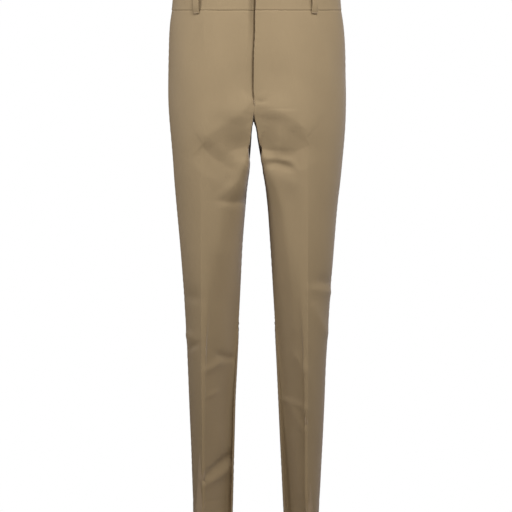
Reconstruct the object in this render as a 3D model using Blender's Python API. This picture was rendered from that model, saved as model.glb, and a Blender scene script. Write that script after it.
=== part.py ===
"""Cigarette trousers in the hollow form that they have when worn, with no wearer.

The pieces are two fronts, two backs, a waistband in two halves, a lapped fly with its shield and zip, a hook
and bar behind the waistband's lap, and five belt loops.

Frame: +Z is up, the front faces -Y and the wearer's left is +X. The origin is the middle of the waistband's
ring, where the waist holds the trousers up. Sizes are in millimetres here and become metres in the meshes.

Every piece of cloth lies on one surface, a stack of level sections. A section runs from the side seam to the
pressed crease and on to the inner edge, which is the inseam below the fork and the centre seam above it.
"""

import math

import bmesh
import bpy
import numpy as np

MM = 0.001

# Walls, and the gap between two pieces.
CLOTH = 1.2
FOLDED_CLOTH = 2.2
BAND_CLOTH = 2.2
TAPE_CLOTH = 0.9
GAP = 0.3

# Heights. The waist seam lies in a plane that is lower in front than behind, by this slope.
WAIST_Z = -20.0
WAIST_TILT = 0.123
BAND_HEIGHT = 40.0
BAND_PROUD = 0.5
HEM_Z = -1045.0
HEM_DEPTH = 40.0
HEM_STEP = 3.0
FORK_Y, FORK_Z = -15.0, -243.0

# The centre seams turn under the body from these heights down.
FRONT_TURN_Z = -180.0
BACK_TURN_Z = -160.0

# How much squarer the sections are at the fork, and how far up and down that dies away.
FORK_FULLNESS = 0.55
FORK_REACH = 95.0

# The fly: the left front laps over the right one, which sinks behind it and carries the shield. The lap and
# the underlap reach their full thickness and width over a short run from the fly's end up.
FLY_END_Z = -205.0
FLY_RUN = 20.0
UNDERLAP = 6.0
FACING_WIDTH = 38.0
FACING_EDGE = 8.0
SINK_RUN = 16.0
SINK_LEVEL = 2.0
SHIELD_RIGHT = 10.0
SHIELD_SHORT = 26.0

# The zip: how far it ends above the fly's end, how far in its chain runs, and its widths.
ZIP_SHORT = 28.0
CHAIN_IN = 5.0
CHAIN_WIDTH = 4.0
CHAIN_PROUD = 0.7
TAPE_REACH = 13.0
EDGE = 0.1

# The zip's slider and pull, as width, height and thickness, and the level of the slider's top.
SLIDER = (7.0, 9.0, 1.2)
PULL = (5.0, 22.0, 1.0)
SLIDER_TOP = -25.0

# The waistband's lap, and the hook and bar behind it: width, height, thickness.
BAND_UNDERLAP = 40.0
HOOK = (12.0, 9.0, 0.8)
HOOK_BAR = (3.0, 14.0, 1.0)
HOOK_IN = 17.0

# Belt loops.
LOOP_WIDTH = 12.0
LOOP_CLOTH = 1.9
NEARBY = 0.03
LOOP_PLACES = {
    "front_right": -117.0,
    "front_left": 111.0,
    "back_right": -104.0,
    "back_left": 102.0,
    "centre": 0.0,
}

# How finely a front and a back are divided: side seam to crease, crease to inner edge, hem to fork, fork to
# waist. A leg's rows are closer towards the fork. A panel's border, which gives its normals, lies outside it.
FRONT_GRID = (7, 13, 36, 16)
BACK_GRID = (6, 10, 28, 14)
BAND_COLUMNS = 14
BAND_ROWS = 3
CLOSER = 0.4
BORDER_U = 0.07
BORDER_Z = 10.0

# Folds die away over these shares of a panel at the side seam and at the inner edge, so that pieces meet.
FADE_OUTER = 0.25
FADE_INNER = 0.3

KHAKI = (0.352, 0.262, 0.165)
STEEL = (0.55, 0.54, 0.52)


def table(columns, *rows):
    """Rows of numbers as a dictionary of named columns."""
    return dict(zip(columns.split(), np.array(rows, float).T))


# The outline from the front: where each leg's outer and inner edges lie.
OUTLINE = table(
    "z right_outer right_inner left_inner left_outer",
    (-1045, -127.2, -50.8, 55.8, 123.0),
    (-1023, -127.8, -50.2, 54.6, 124.0),
    (-961, -130.2, -48.6, 51.6, 127.8),
    (-881, -132.8, -46.6, 47.8, 132.0),
    (-801, -136.2, -44.4, 44.0, 135.8),
    (-721, -139.4, -40.2, 40.0, 138.8),
    (-641, -143.4, -36.2, 35.6, 143.8),
    (-561, -148.6, -32.2, 30.8, 149.2),
    (-481, -155.0, -28.0, 25.6, 155.8),
    (-401, -162.6, -21.6, 19.8, 162.8),
    (-361, -166.2, -18.2, 15.2, 167.6),
    (-321, -169.0, -14.6, 8.2, 171.8),
    (-281, -172.4, -11.4, 1.0, 175.4),
    (-257, -174.6, -9.6, -2.6, 177.2),
    (-243, -175.8, -7.0, -7.0, 178.0),
    (-201, -178.2, -7.0, -7.0, 179.4),
    (-151, -178.6, -7.0, -7.0, 178.7),
    (-101, -177.6, -7.0, -7.0, 177.6),
    (-61, -176.0, -7.0, -7.0, 174.8),
    (-41, -174.2, -7.0, -7.0, 172.4),
    (-20, -171.0, -7.0, -7.0, 169.2),
    (20, -167.2, -7.0, -7.0, 165.6),
)

# The outline from the side: depths of the creases, the side seam, the inseam and the centre seams.
PROFILE = table(
    "z front side inseam back centre_front centre_back",
    (-1045, -66.0, 3.0, 3.0, 70.0, 0.0, 0.0),
    (-960, -69.0, 2.0, 2.0, 72.0, 0.0, 0.0),
    (-860, -73.0, 0.0, 0.0, 75.0, 0.0, 0.0),
    (-760, -77.0, -2.0, -2.0, 75.0, 0.0, 0.0),
    (-680, -80.0, -4.0, -3.0, 73.0, 0.0, 0.0),
    (-600, -83.0, -5.0, -4.0, 72.0, 0.0, 0.0),
    (-520, -87.0, -4.0, -5.0, 77.0, 0.0, 0.0),
    (-440, -91.0, -1.0, -7.0, 86.0, 0.0, 0.0),
    (-360, -97.0, 3.0, -10.0, 97.0, 0.0, 0.0),
    (-300, -101.0, 6.0, -13.0, 108.0, 0.0, 0.0),
    (-243, -104.0, 9.0, -15.0, 122.0, -107.0, 118.0),
    (-198, -104.5, 11.0, -15.0, 133.0, -108.0, 124.0),
    (-160, -103.5, 12.0, -15.0, 139.0, -109.0, 128.0),
    (-110, -100.5, 10.0, -15.0, 135.0, -109.5, 128.0),
    (-60, -95.0, 6.0, -15.0, 120.0, -108.0, 121.0),
    (-20, -89.0, 2.0, -15.0, 103.0, -106.0, 112.0),
    (35, -84.0, 0.0, -15.0, 92.0, -103.0, 106.0),
)

# The pressed creases: where they lie from the front, how far the section leans there, and how sharp the
# press is. The last two are in degrees.
CREASE = table(
    "z front_right front_left back_right back_left"
    " front_lean_right front_lean_left back_lean_right back_lean_left press",
    (-1045, -107.0, 99.5, -70.0, 79.0, 16.0, 10.0, -16.0, -10.0, 31.0),
    (-760, -109.0, 99.5, -70.0, 78.0, 16.0, 10.0, -16.0, -10.0, 30.0),
    (-560, -110.0, 99.8, -70.0, 78.0, 16.0, 10.0, -15.0, -9.0, 27.0),
    (-400, -110.0, 99.8, -73.0, 80.0, 17.0, 12.0, -12.0, -8.0, 21.0),
    (-300, -109.5, 99.8, -77.0, 82.0, 18.0, 15.0, -8.0, -6.0, 14.0),
    (-243, -109.0, 99.8, -80.0, 84.0, 20.0, 18.0, -4.0, -4.0, 9.0),
    (-160, -106.0, 98.5, -82.0, 84.0, 23.0, 22.0, 3.0, 3.0, 4.0),
    (-80, -102.0, 96.0, -82.0, 83.0, 25.0, 24.0, 12.0, 12.0, 2.5),
    (35, -99.0, 94.0, -82.0, 82.0, 25.0, 24.0, 19.0, 19.0, 0.0),
)

# The centre: the fly's edge from the front, how far the left front stands out along it, how far the right
# front sinks behind it, and the line of the centre back seam.
CENTRE = table(
    "z front lift sink back",
    (-243, -7.0, 0.0, 0.0, -7.0),
    (-225, -6.0, 0.5, 0.6, -4.5),
    (-205, -5.2, 1.0, 1.9, -3.0),
    (-185, -5.0, 1.0, 2.5, -2.0),
    (-110, -4.6, 1.0, 2.4, 0.0),
    (-80, -3.0, 1.2, 2.9, 0.0),
    (-40, -2.6, 1.4, 4.1, 0.0),
    (35, -0.6, 1.4, 4.4, 0.0),
)

# The largest folds. Each is a straight soft ridge, or a trough where its rise is below 0: its middle from the
# front, half its length, the angle that it climbs at towards +X, half its width, and its rise.
FRONT_FOLDS = table(
    "x z run climb wide rise",
    (-58, -244, 60, 37, 10, 2.2),
    (-50, -268, 40, 35, 9, -1.8),
    (-38, -292, 26, 8, 8, -1.6),
    (-38, -311, 24, 4, 8, 1.4),
    (-72, -318, 40, -31, 8, -2.4),
    (-50, -352, 46, 62, 9, 2.0),
    (-72, -440, 46, 87, 10, 1.4),
    (50, -236, 58, 25, 10, 2.2),
    (40, -262, 36, 22, 9, -1.6),
    (40, -290, 30, 84, 7, 1.4),
    (48, -330, 30, 10, 8, -2.2),
    (62, -352, 30, 42, 9, 1.8),
    (36, -378, 52, -68, 10, 1.6),
    (-136, -690, 24, 38, 9, -2.2),
    (-88, -718, 40, -16, 8, -1.8),
    (-92, -736, 42, 28, 8, 1.8),
    (-130, -620, 40, 80, 9, 1.2),
    (-80, -790, 26, 30, 8, 1.0),
    (124, -640, 30, -60, 8, 1.8),
    (134, -545, 30, 12, 9, -1.6),
    (66, -560, 46, -50, 9, 1.6),
    (76, -650, 50, 90, 9, -1.0),
    (88, -728, 30, -46, 8, 1.6),
    (-64, -925, 34, 36, 8, -2.4),
    (-68, -942, 36, 34, 8, 2.2),
    (74, -830, 34, -52, 8, 1.6),
    (84, -910, 46, 86, 8, 1.2),
)
BACK_FOLDS = table(
    "x z run climb wide rise",
    (-70, -252, 60, 24, 10, -2.4),
    (-66, -276, 56, 28, 10, 2.2),
    (-80, -312, 46, 34, 9, -1.8),
    (68, -250, 62, -26, 10, -2.4),
    (66, -278, 50, -30, 10, 2.2),
    (82, -318, 44, -36, 9, -1.8),
    (-90, -540, 40, 14, 9, -2.0),
    (-92, -566, 44, 8, 9, 2.0),
    (-86, -612, 36, -18, 8, -1.6),
    (90, -548, 42, -10, 9, -2.0),
    (88, -574, 40, -14, 9, 2.0),
    (86, -620, 34, 20, 8, -1.6),
    (-84, -930, 32, -26, 8, -1.8),
    (88, -942, 30, 24, 8, 1.8),
)

# How far a belt loop stands off the cloth behind it.
LOOP = table(
    "level clear",
    (-27.0, 0.6),
    (-25.0, 2.6),
    (-22.0, 4.5),
    (-16.0, 5.3),
    (-4.0, 5.6),
    (8.0, 5.4),
    (14.0, 4.3),
    (18.0, 1.8),
    (19.7, 0.3),
)


def along(columns, name, z):
    """A named column at the heights z: a smooth curve through the table's rows, straight past its ends."""
    at, value = columns["z"], columns[name]
    step, rise = np.diff(at), np.diff(value) / np.diff(at)
    between = (rise[:-1] * step[1:] + rise[1:] * step[:-1]) / (step[1:] + step[:-1])
    slope = np.concatenate((rise[:1], between, rise[-1:]))
    z = np.asarray(z, float)
    i = np.clip(np.searchsorted(at, z) - 1, 0, len(step) - 1)
    t = np.clip((z - at[i]) / step[i], 0.0, 1.0)
    past = z - np.clip(z, at[0], at[-1])
    return (
        value[i] * (1 + 2 * t) * (1 - t) ** 2
        + value[i + 1] * t * t * (3 - 2 * t)
        + step[i] * t * (1 - t) * (slope[i] * (1 - t) - slope[i + 1] * t)
        + past * np.where(past < 0, slope[0], slope[-1])
    )


def ease(t):
    """0 up to t = 0 and 1 from t = 1, with a smooth rise between."""
    t = np.clip(t, 0.0, 1.0)
    return t * t * (3 - 2 * t)


def heading(inward, degrees, side):
    """A unit vector in plan: inwards, turned by an angle to the front where side is -1, or back where 1."""
    angle = np.radians(degrees)
    return np.stack((inward * np.cos(angle), side * np.sin(angle)), axis=-1)


def arc(start, leaving, end, arriving, fullness, t):
    """A cubic curve in plan between two points with given headings.

    It is as round as a circle's arc where fullness is 1, and squarer where it is more.
    """
    chord = end - start
    turn = np.arccos(np.clip((leaving * arriving).sum(-1), -1.0, 1.0))
    reach = fullness / (3.0 * np.cos(turn / 4) ** 2 * np.cos(turn / 2).clip(0.2))
    near = start + leaving * (reach * (chord * leaving).sum(-1))[..., None]
    far = end - arriving * (reach * (chord * arriving).sum(-1))[..., None]
    t = t[..., None]
    return (
        start * (1 - t) ** 3
        + 3 * near * t * (1 - t) ** 2
        + 3 * far * t * t * (1 - t)
        + end * t**3
    )


def centre_seam(z, side):
    """The centre seam's depth, and the angle that the section has turned to there.

    The seam drops from the waist, then turns under the body in a quarter of an ellipse to the fork.
    """
    name, turn_z = ("centre_front", FRONT_TURN_Z)
    if side > 0:
        name, turn_z = ("centre_back", BACK_TURN_Z)
    share = np.clip((turn_z - z) / (turn_z - FORK_Z), 0.0, 1.0)
    depth = along(PROFILE, name, np.maximum(z, turn_z))
    return FORK_Y + (depth - FORK_Y) * np.sqrt(1 - share**2), 90.0 * share**1.7


class Half:
    """One half of the trousers, with the level sections of its front (side -1) and its back (side 1)."""

    def __init__(self, name):
        self.name = name
        self.inward = 1.0 if name == "right" else -1.0

    def inner_edge(self, z, side):
        """The inner edge in plan, and the angle that the section has turned to there."""
        leg = z < FORK_Z
        depth, turn = centre_seam(z, side)
        centre = along(CENTRE, "front" if side < 0 else "back", z)
        x = np.where(leg, along(OUTLINE, self.name + "_inner", z), centre)
        y = np.where(leg, along(PROFILE, "inseam", z), depth)
        x = x - self.inward * GAP / 2
        return np.stack((x, y), axis=-1), np.where(leg, 90.0, turn)

    def section(self, u, z, side):
        """Points in plan at the heights z. u is 0 at the side seam, 1 at the crease, 2 at the inner edge."""
        u, z = np.broadcast_arrays(np.asarray(u, float), np.asarray(z, float))
        face = "front" if side < 0 else "back"
        lean = along(CREASE, f"{face}_lean_{self.name}", z)
        press = along(CREASE, "press", z)
        seam = (along(OUTLINE, self.name + "_outer", z), along(PROFILE, "side", z))
        crease = (along(CREASE, f"{face}_{self.name}", z), along(PROFILE, face, z))
        seam, crease = np.stack(seam, axis=-1), np.stack(crease, axis=-1)
        inner, turn = self.inner_edge(z, side)
        fullness = 1 + FORK_FULLNESS * np.exp(-(((z - FORK_Z) / FORK_REACH) ** 2))
        leaving = heading(self.inward, np.full_like(z, 90.0), side)
        arriving = heading(self.inward, lean + press, side)
        outer_part = arc(seam, leaving, crease, arriving, 1, u)
        leaving = heading(self.inward, press - lean, -side)
        arriving = heading(self.inward, turn, -side)
        inner_part = arc(crease, leaving, inner, arriving, fullness, u - 1)
        return np.where((u < 1)[..., None], outer_part, inner_part)

    def surface(self, u, level, side):
        """Points in space. A level is a height that, from the fork up, tilts more and more with the waist."""
        u, level = np.broadcast_arrays(np.asarray(u, float), np.asarray(level, float))
        climb = np.clip((level - FORK_Z) / (WAIST_Z - FORK_Z), 0, 1) ** 2
        depth = self.section(u, np.minimum(level, WAIST_Z), side)[..., 1]
        z = level + climb * WAIST_TILT * depth
        return np.concatenate((self.section(u, z, side), z[..., None]), axis=-1)

    def across(self, x, level, side):
        """The u at which the surface has the given x, for levels of the seat and the waist."""
        u = np.linspace(0, 2, 81)
        points = self.surface(u, level, side)
        return np.interp(x * self.inward, points[:, 0] * self.inward, u)


RIGHT, LEFT = Half("right"), Half("left")


def folds(columns, x, z):
    """The sum of a table's folds at points given from the front."""
    total = 0 * x
    for i, climb in enumerate(np.radians(columns["climb"])):
        right, up = x - columns["x"][i], z - columns["z"][i]
        length = (right * np.cos(climb) + up * np.sin(climb)) / columns["run"][i]
        width = (up * np.cos(climb) - right * np.sin(climb)) / columns["wide"][i]
        total += columns["rise"][i] * np.exp(-(length**2) - width**2)
    return total


def normals(points, turned):
    """Unit normals of a grid of points: its rows' way across by its columns' way up, or the opposite."""
    normal = np.cross(np.gradient(points, axis=1), np.gradient(points, axis=0))
    return turned * normal / np.linalg.norm(normal, axis=-1, keepdims=True)


def framed(points):
    """A grid with a border of points added that carries on straight from its edges."""
    return np.pad(points, ((1, 1), (1, 1), (0, 0)), mode="reflect", reflect_type="odd")


def moved_back(edge, inside, by):
    """The points of an edge, moved towards those inside it."""
    back = inside - edge
    length = np.linalg.norm(back, axis=-1, keepdims=True)
    return edge + np.reshape(by, (-1, 1)) * back / length


def trimmed(points, first, last, low, high):
    """A grid with its first and last columns and its low and high rows moved back along the cloth."""
    points = points.copy()
    points[:, 0] = moved_back(points[:, 0], points[:, 1], first)
    points[:, -1] = moved_back(points[:, -1], points[:, -2], last)
    points[0] = moved_back(points[0], points[1], low)
    points[-1] = moved_back(points[-1], points[-2], high)
    return points


def piece(name, outer, inner, material):
    """A closed solid between two grids of points, as an object that is smooth up to its edges."""
    rows, columns = outer.shape[:2]
    at = np.arange(rows * columns).reshape(rows, columns)
    quads = np.stack((at[:-1, :-1], at[:-1, 1:], at[1:, 1:], at[1:, :-1]), axis=-1).reshape(-1, 4)
    rim = np.concatenate((at[0], at[1:, -1], at[-1, -2::-1], at[-2:0:-1, 0]))
    after = np.roll(rim, -1)
    edges = np.stack((after, rim, rim + at.size, after + at.size), axis=-1)
    faces = np.concatenate((quads, quads[:, ::-1] + at.size, edges))
    vertices = np.concatenate((outer.reshape(-1, 3), inner.reshape(-1, 3))) * MM
    mesh = bpy.data.meshes.new(name)
    mesh.from_pydata(vertices.tolist(), [], faces.tolist())
    solid = bmesh.new()
    solid.from_mesh(mesh)
    bmesh.ops.recalc_face_normals(solid, faces=solid.faces)
    solid.to_mesh(mesh)
    solid.free()
    mesh.materials.append(material)
    mesh.shade_smooth()
    mesh.set_sharp_from_angle(angle=math.radians(50))
    made = bpy.data.objects.new(name, mesh)
    bpy.context.scene.collection.objects.link(made)
    return made


def wall(name, points, thickness, turned, material, trim=(0, 0, 0, 0)):
    """A wall of cloth behind a grid of points, whose border only gives the normals."""
    normal = normals(points, turned)[1:-1, 1:-1]
    outer = trimmed(points[1:-1, 1:-1], *trim)
    thickness = np.broadcast_to(thickness, outer.shape[:2])[..., None]
    return piece(name, outer, outer - normal * thickness, material)


def panel_levels(side, leg_rows, seat_rows):
    """The levels of a panel's rows at the side seam and at the inner edge, with a border row at each end.

    Below the fork both are the same. Above it, the inner ends are spaced evenly along the centre seam.
    """
    hem = HEM_Z + HEM_DEPTH
    share = np.linspace(0, 1, leg_rows - 1)
    leg = hem + (FORK_Z - hem) * ((1 + CLOSER) * share - CLOSER * share**2)
    leg = np.concatenate(([HEM_Z - BORDER_Z, HEM_Z, hem - HEM_STEP], leg))
    rise = np.linspace(0, 1, seat_rows + 1)[1:]
    outer = FORK_Z + (WAIST_Z - FORK_Z) * rise
    z = FORK_Z + (WAIST_Z - FORK_Z) * np.linspace(0, 1, 400) ** 2
    steps = np.hypot(np.diff(centre_seam(z, side)[0]), np.diff(z))
    length = np.concatenate(([0.0], np.cumsum(steps)))
    inner = np.interp(rise * length[-1], length, z)
    return [np.concatenate((leg, rows, [WAIST_Z + BORDER_Z])) for rows in (outer, inner)]


def past_edge(points):
    """How far points lie past the line of the fly's edge, towards the wearer's left."""
    return points[..., 0] - along(CENTRE, "front", points[..., 2])


def lap_shift(half, points):
    """How far the fly's lift or sink moves points of a front back."""
    z, past = points[..., 2], past_edge(points)
    if half is LEFT:
        return -along(CENTRE, "lift", z) * ease(1 - past / FACING_WIDTH)
    return along(CENTRE, "sink", z) * ease((past + SINK_RUN) / (SINK_RUN - SINK_LEVEL))


def lapped(half, points):
    """The points of a front, or of the waistband, with the lift or the sink of their side of the fly."""
    z, shift = points[..., 2], lap_shift(half, points)
    points = points.copy()
    points[..., 1] += np.where((z > FORK_Z) & (points[..., 1] < 0), shift, 0)
    return points


def panel(half, side, material):
    """A front or a back, from the hem to the waist seam, with its hem turned up and the fly's facing in."""
    front = side < 0
    outer_columns, inner_columns, leg_rows, seat_rows = FRONT_GRID if front else BACK_GRID
    outer_u = np.linspace(0, 1, outer_columns + 1)
    inner_u = np.linspace(1, 2, inner_columns + 1)
    u = np.concatenate(([-BORDER_U], outer_u, inner_u[1:], [2 + BORDER_U]))
    outer, inner = panel_levels(side, leg_rows, seat_rows)
    share = ease(u / 2)
    level = outer[:, None] * (1 - share) + inner[:, None] * share
    points = half.surface(u, level, side)
    turned = -side * half.inward
    fade = ease(u / FADE_OUTER) * ease((2 - u) / FADE_INNER)
    relief = fade * folds(FRONT_FOLDS if front else BACK_FOLDS, points[..., 0], points[..., 2])
    points = points + normals(points, turned) * relief[..., None]
    doubled = ease((HEM_Z + HEM_DEPTH - level) / HEM_STEP)
    if front:
        reached = ease((level - FLY_END_Z) / FLY_RUN)
        if half is RIGHT:
            points[..., 0] += UNDERLAP * reached * np.clip(u - 1, 0, None) ** 2
        else:
            facing = reached * ease((FACING_WIDTH - past_edge(points)) / FACING_EDGE)
            doubled = np.maximum(doubled, facing)
        points = lapped(half, points)
    thickness = CLOTH + (FOLDED_CLOTH - CLOTH) * doubled[1:-1, 1:-1]
    inseam = np.where(np.arange(leg_rows + seat_rows + 1) <= leg_rows, GAP / 2, 0)
    name = f"{'front' if front else 'back'}_{half.name}"
    return wall(name, points, thickness, turned, material, (GAP / 2, inseam, 0, GAP / 2))


def waistband(half, material):
    """Half of the waistband, from its front end round to the centre back seam."""
    levels = WAIST_Z + BAND_HEIGHT * np.linspace(0, 1, BAND_ROWS + 1)[:, None]
    u = np.linspace(0, 2, BAND_COLUMNS + 1)
    front = half.surface(u[::-1], levels, -1)
    back = half.surface(u[1:], levels, 1)
    points = np.concatenate((front, back), axis=1)
    if half is RIGHT:
        # Its front end carries on behind the left half.
        x = along(CENTRE, "front", 0.0) + np.linspace(BAND_UNDERLAP, 3, 6)
        underlap = LEFT.surface(LEFT.across(x, 0.0, -1), levels, -1)
        points = np.concatenate((underlap, points), axis=1)
    points = framed(points)
    points = lapped(half, points + normals(points, -half.inward) * BAND_PROUD)
    trim = (0, GAP / 2, GAP / 2, 0)
    return wall(f"waistband_{half.name}", points, BAND_CLOTH, -half.inward, material, trim)


def fly_points(past, levels):
    """Points of the smooth front at distances past the fly's edge."""
    u = np.linspace(1, 2, 41)
    rows = []
    for level in levels:
        curve = LEFT.surface(u, level, -1)
        x = along(CENTRE, "front", curve[-1, 2]) + past
        rows.append(np.stack((x, *(np.interp(-x, -curve[:, 0], curve[:, k]) for k in (1, 2))), axis=-1))
    return np.stack(rows)


def fly_layer(name, past, levels, behind, depth, thickness, material, raised=0.0):
    """A flat piece inside the fly, on a grid of distances past the fly's edge and of levels.

    Its front lies at a depth behind the outer face of the left front or the right one, less what is raised.
    """
    points = fly_points(np.asarray(past, float), levels)
    base = lap_shift(LEFT, points) if behind is LEFT else along(CENTRE, "sink", points[..., 2])
    back = points.copy()
    back[..., 1] += base + depth + thickness
    points[..., 1] += base + depth - raised
    return piece(name, points, back, material)


def zip_tape(half, material):
    """Half of the zip: its tape, with the raised chain along the inner edge as far as the slider."""
    middle = UNDERLAP + GAP + CHAIN_IN
    towards = 1 if half is LEFT else -1
    reach = TAPE_REACH if half is LEFT else CHAIN_IN
    chain = CHAIN_WIDTH / 2
    past = middle + towards * np.array((GAP / 2, chain, chain + EDGE, reach))
    chain_top = SLIDER_TOP - SLIDER[1] - GAP
    levels = np.linspace(FLY_END_Z + ZIP_SHORT, chain_top, 15)
    levels = np.concatenate((levels, [chain_top + EDGE, WAIST_Z - GAP]))
    raised = CHAIN_PROUD * np.outer(levels <= chain_top, (1, 1, 0, 0))
    depth = CLOTH - TAPE_CLOTH
    return fly_layer(f"zip_tape_{half.name}", past, levels, RIGHT, depth, TAPE_CLOTH, material, raised)


def plate(name, size, past, top, behind, depth, material):
    """A small flat piece of metal inside the fly or behind the waistband's lap."""
    width, height, thickness = size
    across = past + width / 2 * np.array((-1, 1))
    return fly_layer(name, across, (top - height, top), behind, depth, thickness, material)


def fly(cloth, tape, metal):
    """The shield and the zip, which lie behind the left front."""
    past = np.linspace(-SHIELD_RIGHT, FACING_WIDTH, 7)
    levels = np.linspace(FLY_END_Z + SHIELD_SHORT, WAIST_Z - GAP, 16)
    fly_layer("fly_shield", past, levels, RIGHT, CLOTH + GAP, CLOTH, cloth)
    zip_tape(RIGHT, tape)
    zip_tape(LEFT, tape)
    middle = UNDERLAP + GAP + CHAIN_IN
    plate("zip_slider", SLIDER, middle, SLIDER_TOP, RIGHT, -SLIDER[2], metal)
    pull_top = SLIDER_TOP - SLIDER[1] / 2
    plate("zip_pull", PULL, middle, pull_top, LEFT, FOLDED_CLOTH + GAP, metal)


def hook_and_bar(metal):
    """The hook on the back of the waistband's lap, and the bar on the underlap in front of it."""
    top = HOOK[1] / 2
    plate("hook", HOOK, HOOK_IN, top, LEFT, BAND_CLOTH - BAND_PROUD + GAP, metal)
    top = HOOK_BAR[1] / 2
    plate("hook_bar", HOOK_BAR, HOOK_IN, top, RIGHT, -BAND_PROUD - GAP - HOOK_BAR[2], metal)


def belt_loop(place, x, material):
    """A belt loop, tacked below the waist seam and at the waistband's top edge."""
    side = -1 if place.startswith("front") else 1
    half = LEFT if x > 0 else RIGHT
    u = half.across(x, 0.0, side)
    ends = half.surface((u - NEARBY, u + NEARBY), 0.0, side)
    along_band = (ends[1] - ends[0]) * (1, 1, 0)
    along_band /= np.linalg.norm(along_band)
    away = np.cross(along_band, (0, 0, 1))
    away *= np.sign(away[1] * side)
    across = along_band * np.array((-LOOP_WIDTH / 2, LOOP_WIDTH / 2))[:, None]
    middle = half.surface(u, LOOP["level"], side)
    clear = LOOP["clear"] + BAND_PROUD * (LOOP["level"] > WAIST_Z - 5)
    inner = middle[:, None] + across + away * clear[:, None, None]
    return piece(f"belt_loop_{place}", inner + away * LOOP_CLOTH, inner, material)


def finish(name, colour, roughness, metallic=0.0):
    """A plain material."""
    material = bpy.data.materials.new(name)
    material.use_nodes = True
    shader = material.node_tree.nodes["Principled BSDF"]
    shader.inputs["Base Color"].default_value = (*colour, 1.0)
    shader.inputs["Roughness"].default_value = roughness
    shader.inputs["Metallic"].default_value = metallic
    return material


def main():
    """Clears the scene and builds every piece."""
    for old in list(bpy.data.objects):
        bpy.data.objects.remove(old)
    twill = finish("khaki_twill", KHAKI, 0.8)
    tape = finish("zip_tape", KHAKI, 0.9)
    steel = finish("steel", STEEL, 0.35, 1.0)
    for half in (RIGHT, LEFT):
        panel(half, -1, twill)
        panel(half, 1, twill)
        waistband(half, twill)
    fly(twill, tape, steel)
    hook_and_bar(steel)
    for place, x in LOOP_PLACES.items():
        belt_loop(place, x, twill)


main()
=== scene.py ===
"""Cigarette trousers in smooth khaki twill, in the hollow form that they have when worn, with no wearer.

Frame: +Z is up, the front faces -Y and the wearer's left is +X. The origin is the middle of the waistband's
ring. The form is worked out in millimetres and becomes metres in the meshes. Every piece of cloth lies on one
surface, a stack of level sections, and gets its folds, seams and edges by moves along the surface's normal.
"""

import logging
import math
from dataclasses import dataclass, field
from enum import Enum

import bpy
import numpy as np
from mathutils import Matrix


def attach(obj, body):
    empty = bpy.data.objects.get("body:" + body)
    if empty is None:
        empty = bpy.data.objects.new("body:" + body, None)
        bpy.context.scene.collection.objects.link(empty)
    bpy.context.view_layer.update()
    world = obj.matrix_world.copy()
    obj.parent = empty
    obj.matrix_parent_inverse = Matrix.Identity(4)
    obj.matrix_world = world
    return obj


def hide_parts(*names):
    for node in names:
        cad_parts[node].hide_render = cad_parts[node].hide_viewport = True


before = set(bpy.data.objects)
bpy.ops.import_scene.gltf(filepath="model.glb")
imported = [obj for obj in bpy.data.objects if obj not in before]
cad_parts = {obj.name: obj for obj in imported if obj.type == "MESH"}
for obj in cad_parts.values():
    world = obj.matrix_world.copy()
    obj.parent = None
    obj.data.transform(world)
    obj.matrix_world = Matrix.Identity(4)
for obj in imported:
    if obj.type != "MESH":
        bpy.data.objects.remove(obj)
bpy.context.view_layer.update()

LOG = logging.getLogger("trousers")

# A millimetre in metres, the gap between two pieces in millimetres, and the range that a noise's values fill.
MM = 0.001
GAP = 0.3
NOISE_RANGE = (0.3, 0.7)

Array = np.ndarray
Table = dict[str, Array]
Piece = bpy.types.Object
Socket = bpy.types.NodeSocket
Point = tuple[float, float, float]
Colour = tuple[float, ...]


class Leg(Enum):
    """The wearer's right or left half, with the way along X from its side seam inwards."""

    RIGHT = 1
    LEFT = -1

    @property
    def word(self) -> str:
        """The half's name in the names of pieces and of table columns."""
        return self.name.lower()


class Side(Enum):
    """The front or the back of the garment, with its way along Y."""

    FRONT = -1
    BACK = 1

    @property
    def word(self) -> str:
        """The side's name in the names of pieces and of table columns."""
        return self.name.lower()


def table(columns: str, *rows: tuple[float, ...]) -> Table:
    """Rows of numbers as named columns.

    Args:
        columns: The columns' names, with spaces between.
        rows: The rows, lowest first.

    Returns:
        A dictionary from name to column.
    """
    return dict(zip(columns.split(), np.array(rows, float).T))


# The outline from the front, in millimetres: where each leg's outer and inner edges lie.
OUTLINE = table(
    "z right_outer right_inner left_inner left_outer",
    (-1045, -127.2, -50.8, 55.8, 123.0),
    (-1023, -127.8, -50.2, 54.6, 124.0),
    (-961, -130.2, -48.6, 51.6, 127.8),
    (-881, -132.8, -46.6, 47.8, 132.0),
    (-801, -136.2, -44.4, 44.0, 135.8),
    (-721, -139.4, -40.2, 40.0, 138.8),
    (-641, -143.4, -36.2, 35.6, 143.8),
    (-561, -148.6, -32.2, 30.8, 149.2),
    (-481, -155.0, -28.0, 25.6, 155.8),
    (-401, -162.6, -21.6, 19.8, 162.8),
    (-361, -166.2, -18.2, 15.2, 167.6),
    (-321, -169.0, -14.6, 8.2, 171.8),
    (-281, -172.4, -11.4, 1.0, 175.4),
    (-257, -174.6, -9.6, -2.6, 177.2),
    (-243, -175.8, -7.0, -7.0, 178.0),
    (-201, -178.2, -7.0, -7.0, 179.4),
    (-151, -178.6, -7.0, -7.0, 178.7),
    (-101, -177.6, -7.0, -7.0, 177.6),
    (-61, -176.0, -7.0, -7.0, 174.8),
    (-41, -174.2, -7.0, -7.0, 172.4),
    (-20, -171.0, -7.0, -7.0, 169.2),
    (20, -167.2, -7.0, -7.0, 165.6),
)

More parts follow.
